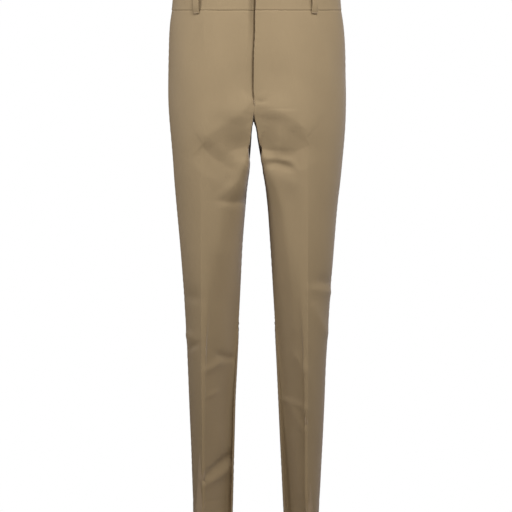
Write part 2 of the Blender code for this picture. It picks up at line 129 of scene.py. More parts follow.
# The outline from the side: depths of the creases, the side seam and the inseam.
PROFILE = table(
    "z front side inseam back",
    (-1045, -66.0, 3.0, 3.0, 70.0),
    (-960, -69.0, 2.0, 2.0, 72.0),
    (-860, -73.0, 0.0, 0.0, 75.0),
    (-760, -77.0, -2.0, -2.0, 75.0),
    (-680, -80.0, -4.0, -3.0, 73.0),
    (-600, -83.0, -5.0, -4.0, 72.0),
    (-520, -87.0, -4.0, -5.0, 77.0),
    (-440, -91.0, -1.0, -7.0, 86.0),
    (-360, -97.0, 3.0, -10.0, 97.0),
    (-300, -101.0, 6.0, -13.0, 108.0),
    (-243, -104.0, 9.0, -15.0, 122.0),
    (-198, -104.5, 11.0, -15.0, 133.0),
    (-160, -103.5, 12.0, -15.0, 139.0),
    (-110, -100.5, 10.0, -15.0, 135.0),
    (-60, -95.0, 6.0, -15.0, 120.0),
    (-20, -89.0, 2.0, -15.0, 103.0),
    (35, -84.0, 0.0, -15.0, 92.0),
)

# Depths of the centre seams before they turn under the body. The lowest row is there for their slope at the
# fork.
SEAMS = table(
    "z front back",
    (-300, -105.5, 111.0),
    (-243, -107.0, 118.0),
    (-198, -108.0, 124.0),
    (-160, -109.0, 128.0),
    (-110, -109.5, 128.0),
    (-60, -108.0, 121.0),
    (-20, -106.0, 112.0),
    (35, -103.0, 106.0),
)

# The pressed creases: where they lie from the front, how far the section leans there and how sharp the press
# is. The leans and the press are in degrees.
CREASE = table(
    "z front_right front_left back_right back_left"
    " front_lean_right front_lean_left back_lean_right back_lean_left press",
    (-1045, -107.0, 99.5, -70.0, 79.0, 16.0, 10.0, -16.0, -10.0, 31.0),
    (-760, -109.0, 99.5, -70.0, 78.0, 16.0, 10.0, -16.0, -10.0, 30.0),
    (-560, -110.0, 99.8, -70.0, 78.0, 16.0, 10.0, -15.0, -9.0, 18.0),
    (-400, -110.0, 99.8, -73.0, 80.0, 17.0, 12.0, -12.0, -8.0, 6.0),
    (-300, -109.5, 99.8, -77.0, 82.0, 18.0, 15.0, -8.0, -6.0, 1.8),
    (-243, -109.0, 99.8, -80.0, 84.0, 20.0, 18.0, -4.0, -4.0, 0.8),
    (-160, -106.0, 98.5, -82.0, 84.0, 23.0, 22.0, 3.0, 3.0, 0.0),
    (-80, -102.0, 96.0, -82.0, 83.0, 25.0, 24.0, 12.0, 12.0, 0.0),
    (35, -99.0, 94.0, -82.0, 82.0, 25.0, 24.0, 19.0, 19.0, 0.0),
)

# The corner that each front turns at its inner edge: how sharp it is, and how far behind the crease.
CORNER = table(
    "z share right left",
    (-520, 0.0, 10.0, 14.0),
    (-430, 0.25, 9.0, 13.0),
    (-340, 0.8, 3.0, 9.0),
    (-290, 1.0, 1.0, 5.0),
    (-243, 1.0, -2.6, -2.2),
    (-226, 1.0, -4.3, -4.3),
    (-210, 1.0, -4.6, -4.6),
)

# The centre: the fly's edge from the front, how far the left front stands out along it, how far the right
# front sinks behind it, the line of the centre back seam, and the depths of the wide valley and of the narrow
# groove that the right front has beside the fly's edge.
CENTRE = table(
    "z front lift sink back valley groove",
    (-243, -7.0, 0.0, 0.0, -7.0, 0.0, 0.0),
    (-225, -6.0, 0.5, 0.6, -4.5, 0.0, 0.6),
    (-205, -5.2, 1.2, 1.9, -3.0, 0.0, 2.6),
    (-185, -5.0, 1.6, 2.5, -2.0, 0.3, 4.0),
    (-110, -4.6, 1.8, 2.4, 0.0, 0.8, 4.4),
    (-80, -3.0, 2.2, 2.9, 0.0, 2.0, 4.6),
    (-40, -2.6, 2.6, 4.1, 0.0, 2.8, 4.6),
    (35, -0.6, 2.6, 4.4, 0.0, 2.6, 3.6),
)

# How far a belt loop stands off the cloth behind it.
LOOP = table(
    "level clear",
    (-27.0, 0.6),
    (-25.0, 1.0),
    (-22.0, 1.9),
    (-16.0, 3.8),
    (-4.0, 5.4),
    (8.0, 5.3),
    (14.0, 4.3),
    (18.0, 1.8),
    (19.7, 0.3),
)


def along(columns: Table, name: str, at: Array, key: str = "z") -> Array:
    """A table's column as a smooth curve: a cubic through its rows, going on straight past its ends.

    Args:
        columns: The table.
        name: The column to read.
        at: The places to read it at.
        key: The column that the places are measured in.

    Returns:
        The values at those places.
    """
    rows, value = columns[key], columns[name]
    step, rise = np.diff(rows), np.diff(value) / np.diff(rows)
    between = (rise[:-1] * step[1:] + rise[1:] * step[:-1]) / (step[1:] + step[:-1])
    slope = np.concatenate((rise[:1], between, rise[-1:]))
    at = np.asarray(at, float)
    i = np.clip(np.searchsorted(rows, at) - 1, 0, len(step) - 1)
    t = np.clip((at - rows[i]) / step[i], 0.0, 1.0)
    past = at - np.clip(at, rows[0], rows[-1])
    return (
        value[i] * (1 + 2 * t) * (1 - t) ** 2
        + value[i + 1] * t * t * (3 - 2 * t)
        + step[i] * t * (1 - t) * (slope[i] * (1 - t) - slope[i + 1] * t)
        + past * np.where(past < 0, slope[0], slope[-1])
    )


def ease(t: Array) -> Array:
    """0 up to t = 0 and 1 from t = 1, rising as 3t² - 2t³ between."""
    t = np.clip(t, 0.0, 1.0)
    return t * t * (3 - 2 * t)


def unit(vectors: Array) -> Array:
    """Vectors along the last axis, each divided by its length."""
    return vectors / np.linalg.norm(vectors, axis=-1, keepdims=True).clip(1e-9)


def heading(inward: float, degrees: Array, side: float) -> Array:
    """A unit vector in plan, inwards and turned by an angle towards the front (-1) or the back (1)."""
    angle = np.radians(degrees)
    return np.stack((inward * np.cos(angle), side * np.sin(angle)), axis=-1)


def arc(
    start: Array, leaving: Array, end: Array, arriving: Array, fullness: Array | float, t: Array
) -> Array:
    """A cubic Bezier curve in plan, whose arms are the chord's share along each heading times a reach.

    Args:
        start: The first points.
        leaving: The headings there.
        end: The last points.
        arriving: The headings there.
        fullness: 1 for a curve as round as a circle's arc, more for a squarer one.
        t: The share of the way along.

    Returns:
        The points in plan.
    """
    chord = end - start
    turn = np.arccos(np.clip((leaving * arriving).sum(-1), -1.0, 1.0))
    reach = fullness / (3.0 * np.cos(turn / 4) ** 2 * np.cos(turn / 2).clip(0.2))
    near = start + leaving * (reach * (chord * leaving).sum(-1))[..., None]
    far = end - arriving * (reach * (chord * arriving).sum(-1))[..., None]
    t = t[..., None]
    return start * (1 - t) ** 3 + 3 * near * t * (1 - t) ** 2 + 3 * far * t * t * (1 - t) + end * t**3


@dataclass(frozen=True)
class Form:
    """The garment's whole surface: level sections from the side seam to the crease and to the inner edge.

    Sizes are in millimetres and angles in degrees.

    Attributes:
        waist_z: The waist seam's height.
        waist_tilt: How steeply the levels climb towards the back at the waist.
        hem_z: The hems' height.
        fork_z: The fork's height.
        fork_y: The fork's depth.
        front_turn_z: Where the front's centre seam starts to turn under the body.
        back_turn_z: Where the back's does.
        turn_power: How square the front's turn is. The back's is an ellipse.
        fork_fullness: How much squarer a leg's section is than a circle's arc, at square_z.
        fork_reach: How far that dies away.
        square_z: Where a leg's section is squarest.
        even_z: From here up the body's columns are spaced evenly across.
        corner_power: How tightly the front turns its corner under the fork.
        corner_start: The share of the way past the crease at which that corner starts to come in.
        corner_run: The share that it takes.
        even_bias: How much wider the body's columns are near the crease than at the centre.
        shin_open: How far the front meets the inseam short of straight back, on the shins.
        shin_z: Where that starts.
        shin_run: How far it takes to come in.
        blend_run: How far above and below a point its sections are averaged, at the fork.
        blend_reach: How far that dies away.
        blend_steps: How many sections are averaged.
    """

    waist_z: float = -20.0
    waist_tilt: float = 0.123
    hem_z: float = -1045.0
    fork_z: float = -243.0
    fork_y: float = -15.0
    front_turn_z: float = -212.0
    back_turn_z: float = -160.0
    turn_power: float = 2.3
    fork_fullness: float = 0.2
    fork_reach: float = 85.0
    square_z: float = -265.0
    even_z: float = -110.0
    corner_power: int = 6
    corner_start: float = 0.02
    corner_run: float = 0.3
    even_bias: float = 0.3
    shin_open: float = 16.0
    shin_z: float = -400.0
    shin_run: float = 260.0
    blend_run: float = 20.0
    blend_reach: float = 40.0
    blend_steps: int = 17

    def centre_seam(self, z: Array, side: Side) -> tuple[Array, Array]:
        """The centre seam: it drops from the waist, then turns under the body to the fork.

        The turn is the quarter of a superellipse, a squarer one in front: depth = (1 - share^p)^(1 / p).

        Args:
            z: Heights.
            side: The front's seam or the back's.

        Returns:
            The seam's depths, and how far it has turned: 0 down to where the turn starts, 1 from the fork.
        """
        turn_z = self.front_turn_z if side is Side.FRONT else self.back_turn_z
        share = np.clip((turn_z - z) / (turn_z - self.fork_z), 0.0, 1.0)
        depth = along(SEAMS, side.word, np.maximum(z, turn_z))
        power = self.turn_power if side is Side.FRONT else 2.0
        turned = 1 - (1 - share**power) ** (1 / power)
        return depth + (self.fork_y - depth) * turned, turned

    def section(self, leg: Leg, u: Array, z: Array, side: Side) -> Array:
        """Points in plan: an arc to the crease, then the leg's to the inner edge or the body's to the centre.

        The leg's ends along the inseam and the body's across the centre. They share their x, and the depth
        passes from one to the other as the centre seam turns. Under the fork the front's leg arc turns a
        sharper corner: (1 - t)^6 of the crease, t^6 of the inner edge and the rest of the corner itself. On
        the shins the front meets the inseam at an angle, as pressed cloth does.

        Args:
            leg: The half.
            u: 0 at the side seam, 1 at the crease, 2 at the inner edge.
            z: Heights.
            side: The front or the back.

        Returns:
            The points' x and y.
        """
        u, z = np.broadcast_arrays(np.asarray(u, float), np.asarray(z, float))
        inward, way = leg.value, side.value
        lean = along(CREASE, f"{side.word}_lean_{leg.word}", z)
        press = along(CREASE, "press", z)
        seam = np.stack((along(OUTLINE, leg.word + "_outer", z), along(PROFILE, "side", z)), axis=-1)
        crease = (along(CREASE, f"{side.word}_{leg.word}", z), along(PROFILE, side.word, z))
        crease = np.stack(crease, axis=-1)
        below = z < self.fork_z
        turned = self.centre_seam(z, side)[1]
        x = np.where(below, along(OUTLINE, leg.word + "_inner", z), along(CENTRE, side.word, z))
        x = x - inward * GAP / 2
        depth = along(SEAMS, side.word, np.maximum(z, self.fork_z))
        inseam = np.where(below, along(PROFILE, "inseam", z), self.fork_y)
        fullness = 1 + self.fork_fullness * np.exp(-(((z - self.square_z) / self.fork_reach) ** 2))
        straight = np.full_like(z, 90.0)
        leaving, arriving = heading(inward, straight, way), heading(inward, lean + press, way)
        outer_part = arc(seam, leaving, crease, arriving, 1, u)
        on_leg = np.stack((x, inseam), axis=-1)
        leaving = heading(inward, press - lean, -way)
        arriving = straight
        if side is Side.FRONT:
            arriving = straight - self.shin_open * ease((self.shin_z - z) / self.shin_run)
        inner_part = arc(crease, leaving, on_leg, heading(inward, arriving, -way), fullness, u - 1)
        t = np.clip(u - 1, 0, 1)
        if side is Side.FRONT:
            corner = np.stack((x, crease[..., 1] + along(CORNER, leg.word, z)), axis=-1)
            near, far = ((1 - t) ** self.corner_power)[..., None], (t**self.corner_power)[..., None]
            sharp = crease * near + on_leg * far + corner * (1 - near - far)
            share = (along(CORNER, "share", z) * ease((t - self.corner_start) / self.corner_run))[..., None]
            inner_part = inner_part + (sharp - inner_part) * share
        even = crease[..., 0] + (x - crease[..., 0]) * t * (1 + self.even_bias - self.even_bias * t)
        kept = ease((self.even_z - z) / (self.even_z - self.front_turn_z))
        inner_x = even + (inner_part[..., 0] - even) * kept
        width = x - crease[..., 0]
        s = np.clip((inner_x - crease[..., 0]) / width, 0, 1)
        slope = -way * np.tan(np.radians(press - lean)) * np.abs(width)
        body = crease[..., 1] + (depth - crease[..., 1]) * s * s * (3 - 2 * s) + slope * s * (1 - s) ** 2
        inner_y = body + (inner_part[..., 1] - body) * np.where(below, 1.0, turned)
        inner_part = np.stack((inner_x, inner_y), axis=-1)
        return np.where((u < 1)[..., None], outer_part, inner_part)

    def surface(self, leg: Leg, u: Array, level: Array, side: Side) -> Array:
        """Points in space. A level is a height that tilts with the waist: z = level + climb² · tilt · y.

        Round the fork each point is the weighted mean of sections a little above and below it, so that the
        legs run into the body with no ledge. The run dies away towards the inner edge and away from the fork.

        Args:
            leg: The half.
            u: 0 at the side seam, 1 at the crease, 2 at the inner edge.
            level: Heights before the tilt.
            side: The front or the back.

        Returns:
            The points, in millimetres.
        """
        u, level = np.broadcast_arrays(np.asarray(u, float), np.asarray(level, float))
        climb = np.clip((level - self.fork_z) / (self.waist_z - self.fork_z), 0, 1) ** 2
        depth = self.section(leg, u, np.minimum(level, self.waist_z), side)[..., 1]
        z = level + climb * self.waist_tilt * depth
        run = self.blend_run * ease((2 - u) / 0.5) * np.exp(-(((z - self.fork_z) / self.blend_reach) ** 2))
        steps = np.linspace(-1, 1, self.blend_steps + 2)[1:-1]
        weights = 1 + np.cos(math.pi * steps)
        weights = weights / weights.sum()
        parts = (share * self.section(leg, u, z + step * run, side) for step, share in zip(steps, weights))
        return np.concatenate((sum(parts), z[..., None]), axis=-1)

    def across(self, leg: Leg, x: Array | float, level: float, side: Side) -> Array:
        """The u at which the surface has the given x, read off a finely divided section.

        Args:
            leg: The half.
            x: The places across.
            level: The section's level.
            side: The front or the back.

        Returns:
            A u for each place.
        """
        u = np.linspace(0, 2, 161)
        points = self.surface(leg, u, level, side)
        return np.interp(x * leg.value, points[:, 0] * leg.value, u)


@dataclass(frozen=True)
class Fold:
    """A fold: a bent line seen from the front, with its own rise and two widths.

    A soft fold's height falls off from the line as exp(-(d / w)^p). A crisp one's flanks are flat, 1 - d / w,
    with a slight round at the line and at the foot, as in cloth that breaks into facets. Both are highest
    half way along: tip + (1 - tip) · sqrt(4 s (1 - s)) at the share s of the line.

    Attributes:
        path: The line's points, as x and z.
        rise: The height, or the depth if it is below 0.
        left: The width on the line's left, going from its first point to its last.
        right: The width on its right.
        power: p, for a soft fold.
        crisp: Whether the flanks are flat.
        tip: The share of the height that is left at the line's ends.
        ridge: How round a crisp fold is at its line, as a share of its width.
        foot: How round it is at its foot.
    """

    path: tuple[tuple[float, float], ...]
    rise: float
    left: float
    right: float
    power: float = 2.0
    crisp: bool = False
    tip: float = 0.35
    ridge: float = 0.04
    foot: float = 0.05

    def height(self, x: Array, z: Array) -> Array:
        """The fold's height at points seen from the front.

        Args:
            x: The points' x.
            z: The points' heights.

        Returns:
            The heights, in millimetres.
        """
        best = np.full(x.shape, np.inf)
        where = np.zeros(x.shape)
        path = np.array(self.path, float)
        steps = np.diff(path, axis=0)
        lengths = np.linalg.norm(steps, axis=1)
        starts = np.concatenate(([0.0], np.cumsum(lengths)[:-1]))
        for (px, pz), (sx, sz), length, start in zip(path[:-1], steps, lengths, starts):
            right, up = x - px, z - pz
            t = np.clip((right * sx + up * sz) / length**2, 0, 1)
            right, up = right - t * sx, up - t * sz
            off = np.hypot(right, up)
            leftward = (sx * up - sz * right) / (length * off.clip(1e-6))
            near = off / (0.5 * (self.left + self.right) + 0.5 * (self.left - self.right) * leftward)
            where = np.where(near < best, start + t * length, where)
            best = np.minimum(best, near)
        share = where / lengths.sum()
        taper = self.tip + (1 - self.tip) * np.sqrt(np.clip(4 * share * (1 - share), 0, 1))
        if not self.crisp:
            return self.rise * taper * np.exp(-(best**self.power))
        flank = 1 + self.ridge - np.sqrt(best**2 + self.ridge**2)
        return self.rise * taper * 0.5 * (flank + np.sqrt(flank**2 + self.foot**2))


def facet(path: tuple[tuple[float, float], ...], rise: float, left: float, right: float) -> Fold:
    """A crisp fold."""
    return Fold(path, rise, left, right, crisp=True)


def folded(folds: tuple[Fold, ...], leg: Leg, x: Array, z: Array) -> Array:
    """The summed height of those folds that lie on one leg's side of the centre."""
    own = (fold for fold in folds if np.mean(np.array(fold.path)[:, 0]) * leg.value < 0)
    return sum(fold.height(x, z) for fold in own)


# Folds of the right front (x below 0) and of the left front. A line that goes towards +X has its first width
# above it and its second below it, and one that goes down has its first towards +X.
FRONT_FOLDS = (
    # Right thigh: the drag line from the fork, the facets under it and the broken folds below.
    facet(((-112, -286), (-38, -238), (-9, -208)), 3.4, 60, 24),
    facet(((-7, -204), (-27, -232), (-30, -262), (-54, -282)), 3.0, 20, 40),
    facet(((-110, -298), (-84, -323), (-42, -347)), -4.8, 22, 34),
    facet(((-58, -308), (-12, -298)), -6.0, 62, 24),
    Fold(((-60, -352), (-20, -334)), 1.6, 12, 16),
    facet(((-18, -322), (-38, -366), (-72, -397)), 2.4, 30, 12),
    Fold(((-74, -405), (-48, -408), (-20, -406)), -3.0, 20, 7, 1.6),
    Fold(((-71, -406), (-72, -450), (-75, -515)), 1.8, 9, 14, 1.6),
    # Left thigh: the drag line, the dark facets with their upright edge, and the folds below.
    facet(((-2, -218), (43, -226), (106, -272)), 3.8, 66, 22),
    facet(((2, -300), (36, -310)), -5.8, 76, 14),
    facet(((46, -312), (66, -314), (102, -296)), -4.2, 46, 36),
    facet(((43, -226), (42, -306)), 4.4, 40, 32),
    facet(((103, -268), (102, -335)), 1.2, 22, 24),
    facet(((14, -334), (38, -330), (70, -341)), -2.8, 10, 11),
    facet(((38, -323), (64, -327), (78, -343)), 2.0, 9, 8),
    Fold(((24, -346), (48, -358), (74, -374)), 2.4, 12, 20),
    Fold(((14, -320), (40, -384), (53, -432), (66, -530), (73, -600), (74, -664)), 2.6, 14, 9, 1.6),
    # Right knee.
    Fold(((-146, -592), (-112, -598)), -2.0, 18, 10),
    Fold(((-142, -668), (-128, -676)), 2.0, 9, 8),
    Fold(((-142, -700), (-134, -694), (-118, -686)), -2.4, 6, 6),
    Fold(((-80, -708), (-62, -716), (-44, -719)), -2.4, 8, 6),
    Fold(((-104, -741), (-86, -731), (-70, -723)), 2.6, 8, 9, 1.7),
    Fold(((-98, -793), (-88, -787), (-78, -781)), 1.5, 6, 6, 1.7),
    Fold(((-66, -600), (-66, -700)), 1.0, 10, 14, 1.7),
    # Left knee.
    Fold(((120, -562), (136, -566), (152, -570)), -2.4, 16, 6),
    Fold(((106, -577), (128, -581), (150, -586)), 2.4, 7, 14, 1.7),
    Fold(((110, -606), (124, -642), (140, -672)), 2.4, 9, 9, 1.7),
    Fold(((76, -706), (86, -724), (98, -746)), 2.0, 9, 7, 1.7),
    # Right shin: the strong slanting fold above the hem.
    Fold(((-76, -852), (-74, -912)), 1.6, 9, 14, 1.6),
    Fold(((-104, -955), (-84, -938), (-62, -921), (-40, -905)), -4.0, 9, 7),
    Fold(((-106, -968), (-86, -959), (-66, -947), (-40, -925)), 3.6, 8, 10, 1.7),
    # Left shin.
    Fold(((50, -800), (78, -808), (102, -816)), 2.0, 8, 8, 1.7),
    Fold(((66, -810), (80, -834), (94, -862)), 2.2, 8, 9, 1.7),
    Fold(((88, -832), (100, -846)), -1.6, 7, 7),
    Fold(((78, -866), (79, -920), (84, -960), (96, -994)), 1.8, 12, 9, 1.6),
    # Hips: the soft lines over what lies under the cloth, and the small pulls at the fly's end.
    Fold(((112, -38), (126, -78), (142, -120), (142, -190)), 0.9, 9, 8),
    Fold(((-104, -26), (-104, -92)), 0.5, 4, 5),
    Fold(((-120, -40), (-140, -100), (-146, -170)), 0.6, 10, 10),
    Fold(((-2, -209), (7, -212), (15, -210)), -1.3, 3, 3),
    Fold(((8, -200), (18, -194)), 0.5, 5, 4),
)

# Folds of the backs: drag lines under the seat, and creases behind the knees and above the hems.
BACK_FOLDS = (
    Fold(((-20, -236), (-60, -252), (-118, -276)), -2.8, 12, 10),
    Fold(((-22, -256), (-66, -278), (-120, -306)), 2.6, 11, 12),
    Fold(((-40, -292), (-78, -314), (-112, -342)), -2.2, 10, 9),
    Fold(((-46, -318), (-84, -350), (-110, -376)), 1.6, 12, 12),
    Fold(((20, -232), (64, -250), (118, -282)), -2.8, 10, 12),
    Fold(((22, -254), (66, -280), (122, -312)), 2.6, 12, 11),
    Fold(((44, -296), (82, -320), (118, -352)), -2.2, 9, 10),
    Fold(((48, -330), (88, -356)), 1.6, 12, 12),
    Fold(((-126, -528), (-92, -540), (-52, -538)), -2.4, 10, 9),
    Fold(((-128, -556), (-92, -566), (-50, -560)), 2.4, 9, 10, 1.7),
    Fold(((-122, -600), (-88, -612), (-56, -628)), -2.0, 9, 8),
    Fold(((-118, -622), (-84, -640), (-60, -652)), 1.6, 9, 9, 1.7),
    Fold(((126, -536), (90, -548), (50, -544)), -2.4, 9, 10),
    Fold(((128, -566), (90, -576), (54, -570)), 2.4, 10, 9, 1.7),
    Fold(((120, -604), (86, -620), (60, -640)), -2.0, 8, 9),
    Fold(((114, -634), (84, -650)), 1.6, 9, 9, 1.7),
    Fold(((-112, -918), (-84, -930), (-58, -948)), -2.0, 8, 9),
    Fold(((-110, -938), (-84, -950), (-58, -964)), 2.0, 9, 9, 1.7),
    Fold(((62, -956), (88, -942), (112, -930)), 2.0, 9, 9, 1.7),
    Fold(((66, -938), (88, -926), (108, -916)), -1.6, 9, 8),
    Fold(((-96, -780), (-74, -800), (-58, -826)), 1.2, 8, 9),
    Fold(((102, -770), (78, -792), (62, -812)), 1.2, 9, 8),
    Fold(((-30, -60), (-34, -130), (-46, -190)), 0.8, 12, 14),
    Fold(((34, -66), (36, -136), (50, -196)), 0.8, 14, 12),
)


def normals(points: Array, turned: float) -> Array:
    """Unit normals of a grid: the cross product of its steps across and up, or the opposite of it.

    Args:
        points: Rows by columns of points.
        turned: 1, or -1 for the opposite.

    Returns:
        A vector for each point.
    """
    return turned * unit(np.cross(np.gradient(points, axis=1), np.gradient(points, axis=0)))


def lengths_along(points: Array, axis: int) -> Array:
    """How far each point of a grid lies along its row or column from the first point.

    Args:
        points: Rows by columns of points.
        axis: 1 to go along the rows, 0 to go up the columns.

    Returns:
        A length for each point.
    """
    steps = np.linalg.norm(np.diff(points, axis=axis), axis=-1)
    pad = ((1, 0), (0, 0)) if axis == 0 else ((0, 0), (1, 0))
    return np.pad(np.cumsum(steps, axis=axis), pad)


def spread(count: int, first: float, last: float) -> Array:
    """Values from first to last that lie closer at both ends: t - 0.7 sin(2πt) / 2π."""
    t = np.linspace(0, 1, count + 1)
    return first + (last - first) * (t - 0.7 * np.sin(2 * math.pi * t) / (2 * math.pi))


def moved_back(edge: Array, inside: Array, by: Array) -> Array:
    """The points of an edge, moved by a length towards those inside it."""
    return edge + np.reshape(by, (-1, 1)) * unit(inside - edge)


def trimmed(points: Array, first: Array, last: Array, low: float, high: float) -> Array:
    """A grid with its outer rows and columns moved back along the cloth.

    Args:
        points: The grid.
        first: How far the first column moves.
        last: How far the last column moves.
        low: How far the first row moves.
        high: How far the last row moves.

    Returns:
        The new grid.
    """
    points = points.copy()
    points[:, 0] = moved_back(points[:, 0], points[:, 1], first)
    points[:, -1] = moved_back(points[:, -1], points[:, -2], last)
    points[0] = moved_back(points[0], points[1], low)
    points[-1] = moved_back(points[-1], points[-2], high)
    return points


def waver(z: Array, period: float, seed: float) -> Array:
    """An uneven wave between -1 and 1: a sine whose pace and height follow two slower sines."""
    pace = z / period + 0.35 * np.sin(z / (2.9 * period) + seed) + 0.2 * np.sin(z / (1.3 * period) + 2 * seed)
    return np.sin(2 * math.pi * pace + seed) * (0.55 + 0.45 * np.sin(z / (1.7 * period) + 3 * seed))


def bell(distance: Array, run: float) -> Array:
    """exp(-(distance / run)²): 1 on a line, dying away on both sides of it."""
    return np.exp(-((distance / run) ** 2))


@dataclass(frozen=True)
class Line:
    """A raised or sunk line along a seam or an edge: rise times exp(-(d / run)²) at a distance d from it."""

    rise: float
    run: float

    def at(self, distance: Array) -> Array:
        """The height at distances from the line, in millimetres."""
        return self.rise * bell(distance, self.run)


@dataclass(frozen=True)
class Pucker:
    """Uneven waves along a seam: rise times a waver along it times exp(-|d| / reach) at a distance d."""

    rise: float
    period: float
    seed: float
    reach: float

    def at(self, place: Array, distance: Array) -> Array:
        """The height at places along the seam and distances from it, in millimetres."""
        return self.rise * waver(place, self.period, self.seed) * np.exp(-np.abs(distance) / self.reach)


class MeshMaker:
    """Puts arrays into Blender meshes."""

    @staticmethod
    def quads(rows: int, columns: int) -> Array:
        """The corner numbers of a grid's faces: each takes a point, its right, upper right and upper one."""
        at = np.arange(rows * columns).reshape(rows, columns)
        return np.stack((at[:-1, :-1], at[:-1, 1:], at[1:, 1:], at[1:, :-1]), axis=-1).reshape(-1, 4)

    @staticmethod
    def make(name: str, points: Array, faces: Array, materials: list, slots: Array | None = None) -> Piece:
        """An object from points in millimetres and four-cornered faces.

        Args:
            name: The object's name.
            points: The vertices.
            faces: Four corner numbers each.
            materials: The object's materials.
            slots: Each face's material number.

        Returns:
            The object.
        """
        mesh = bpy.data.meshes.new(name)
        mesh.vertices.add(len(points))
        mesh.vertices.foreach_set("co", (points * MM).astype(np.float32).ravel())
        mesh.loops.add(faces.size)
        mesh.loops.foreach_set("vertex_index", faces.astype(np.int32).ravel())
        mesh.polygons.add(len(faces))
        mesh.polygons.foreach_set("loop_start", np.arange(0, faces.size, 4, dtype=np.int32))
        if slots is not None:
            mesh.polygons.foreach_set("material_index", slots.astype(np.int32))
        mesh.update(calc_edges=True)
        for material in materials:
            mesh.materials.append(material)
        mesh.shade_smooth()
        made = bpy.data.objects.new(name, mesh)
        bpy.context.scene.collection.objects.link(made)
        return made

    @classmethod
    def shell(
        cls,
        name: str,
        outer: Array,
        inner: Array,
        materials: list,
        bulge: float = 0.4,
        extra: Array | None = None,
    ) -> Piece:
        """A closed piece of cloth between two grids, with a rounded edge all round.

        The edge has a row of points half way between the grids, pushed out by bulge times the thickness. Each
        corner has its place in the cloth as a UV, in metres, from the lengths along the grid's rows and
        columns, and its height above the smooth form as the attribute relief, from which the material paints
        shade.

        Args:
            name: The object's name.
            outer: The outside's points.
            inner: The inside's points.
            materials: The outside's material and the inside's.
            bulge: How far the edge is rounded, as a share of the thickness.
            extra: A number for each point of the grid, kept as the attribute relief, which drives painted
                shade.

        Returns:
            The object.
        """
        rows, columns = outer.shape[:2]
        at = np.arange(rows * columns).reshape(rows, columns)
        rim = np.concatenate((at[0], at[1:, -1], at[-1, -2::-1], at[-2:0:-1, 0]))
        one, two = outer.reshape(-1, 3), inner.reshape(-1, 3)
        inside = at.copy()
        inside[0], inside[-1] = at[1], at[-2]
        inside[:, 0], inside[:, -1] = inside[:, 1], inside[:, -2]
        out = unit(one[rim] - one[inside.ravel()[rim]])
        thick = np.linalg.norm(one[rim] - two[rim], axis=-1, keepdims=True)
        middle = (one[rim] + two[rim]) / 2 + out * thick * bulge
        points = np.concatenate((one, two, middle))
        quads = cls.quads(rows, columns)
        count, ring = one.shape[0], np.arange(len(rim)) + 2 * one.shape[0]
        after = np.roll(rim, -1)
        upper = np.stack((after, rim, ring, np.roll(ring, -1)), axis=-1)
        lower = np.stack((np.roll(ring, -1), ring, rim + count, after + count), axis=-1)
        faces = np.concatenate((quads, quads[:, ::-1] + count, upper, lower))
        r, c = rows // 2, columns // 2
        facing = np.cross(outer[r, c + 1] - outer[r, c], outer[r + 1, c] - outer[r, c])
        if facing @ (outer[r, c] - inner[r, c]) < 0:
            faces = faces[:, ::-1]
        slots = np.zeros(len(faces))
        slots[len(quads) : 2 * len(quads)] = len(materials) - 1
        made = cls.make(name, points, faces, materials, slots)
        across = lengths_along(outer, 1)
        across -= across[:, columns // 2 : columns // 2 + 1]
        flat = np.stack((across, lengths_along(outer, 0)), axis=-1).reshape(-1, 2) * MM
        uv = np.concatenate((flat, flat, flat[rim]))
        layer = made.data.uv_layers.new(name="cloth")
        layer.uv.foreach_set("vector", uv[faces.ravel()].astype(np.float32).ravel())
        value = np.zeros(rows * columns) if extra is None else extra.ravel()
        attribute = made.data.attributes.new("relief", "FLOAT", "POINT")
        attribute.data.foreach_set("value", np.concatenate((value, value, value[rim])).astype(np.float32))
        return made


class Nodes:
    """A short way to write shader nodes: every method adds a node and returns its output."""

    def __init__(self, tree: bpy.types.NodeTree) -> None:
        """Keeps the tree that the nodes go into."""
        self.tree = tree

    def node(self, kind: str, inputs: dict | None = None, **settings) -> bpy.types.Node:
        """Adds a node.

        Args:
            kind: Blender's name of the node.
            inputs: Values or outputs for its sockets, by name or number.
            settings: Values for its properties.

        Returns:
            The node.
        """
        made = self.tree.nodes.new(kind)
        for name, value in settings.items():
            setattr(made, name, value)
        for name, value in (inputs or {}).items():
            if isinstance(value, Socket):
                self.tree.links.new(value, made.inputs[name])
            else:
                made.inputs[name].default_value = value
        return made

    def math(self, operation: str, *values: Socket | float) -> Socket:
        """The output of a Math node on one, two or three values."""
        return self.node("ShaderNodeMath", dict(enumerate(values)), operation=operation).outputs[0]

    def noise(self, vector: Socket, scale: float, detail: float = 2.0, roughness: float = 0.5) -> Socket:
        """The value of a Noise texture."""
        inputs = {"Vector": vector, "Scale": scale, "Detail": detail, "Roughness": roughness}
        return self.node("ShaderNodeTexNoise", inputs).outputs[0]

    def ranged(self, value: Socket, low: float, high: float, to_low: float, to_high: float) -> Socket:
        """A value carried from one range to another, held at its ends."""
        inputs = {0: value, 1: low, 2: high, 3: to_low, 4: to_high}
        return self.node("ShaderNodeMapRange", inputs).outputs[0]

    def mix(self, factor: Socket | float, one: Colour, two: Colour) -> Socket:
        """A blend of two colours.

        Args:
            factor: 0 for the first colour, 1 for the second.
            one: The first colour.
            two: The second colour.

        Returns:
            The blended colour.
        """
        made = self.node("ShaderNodeMix", data_type="RGBA")
        for socket, value in zip((made.inputs[0], made.inputs[6], made.inputs[7]), (factor, one, two)):
            if isinstance(value, Socket):
                self.tree.links.new(value, socket)
            else:
                socket.default_value = value
        return made.outputs[2]


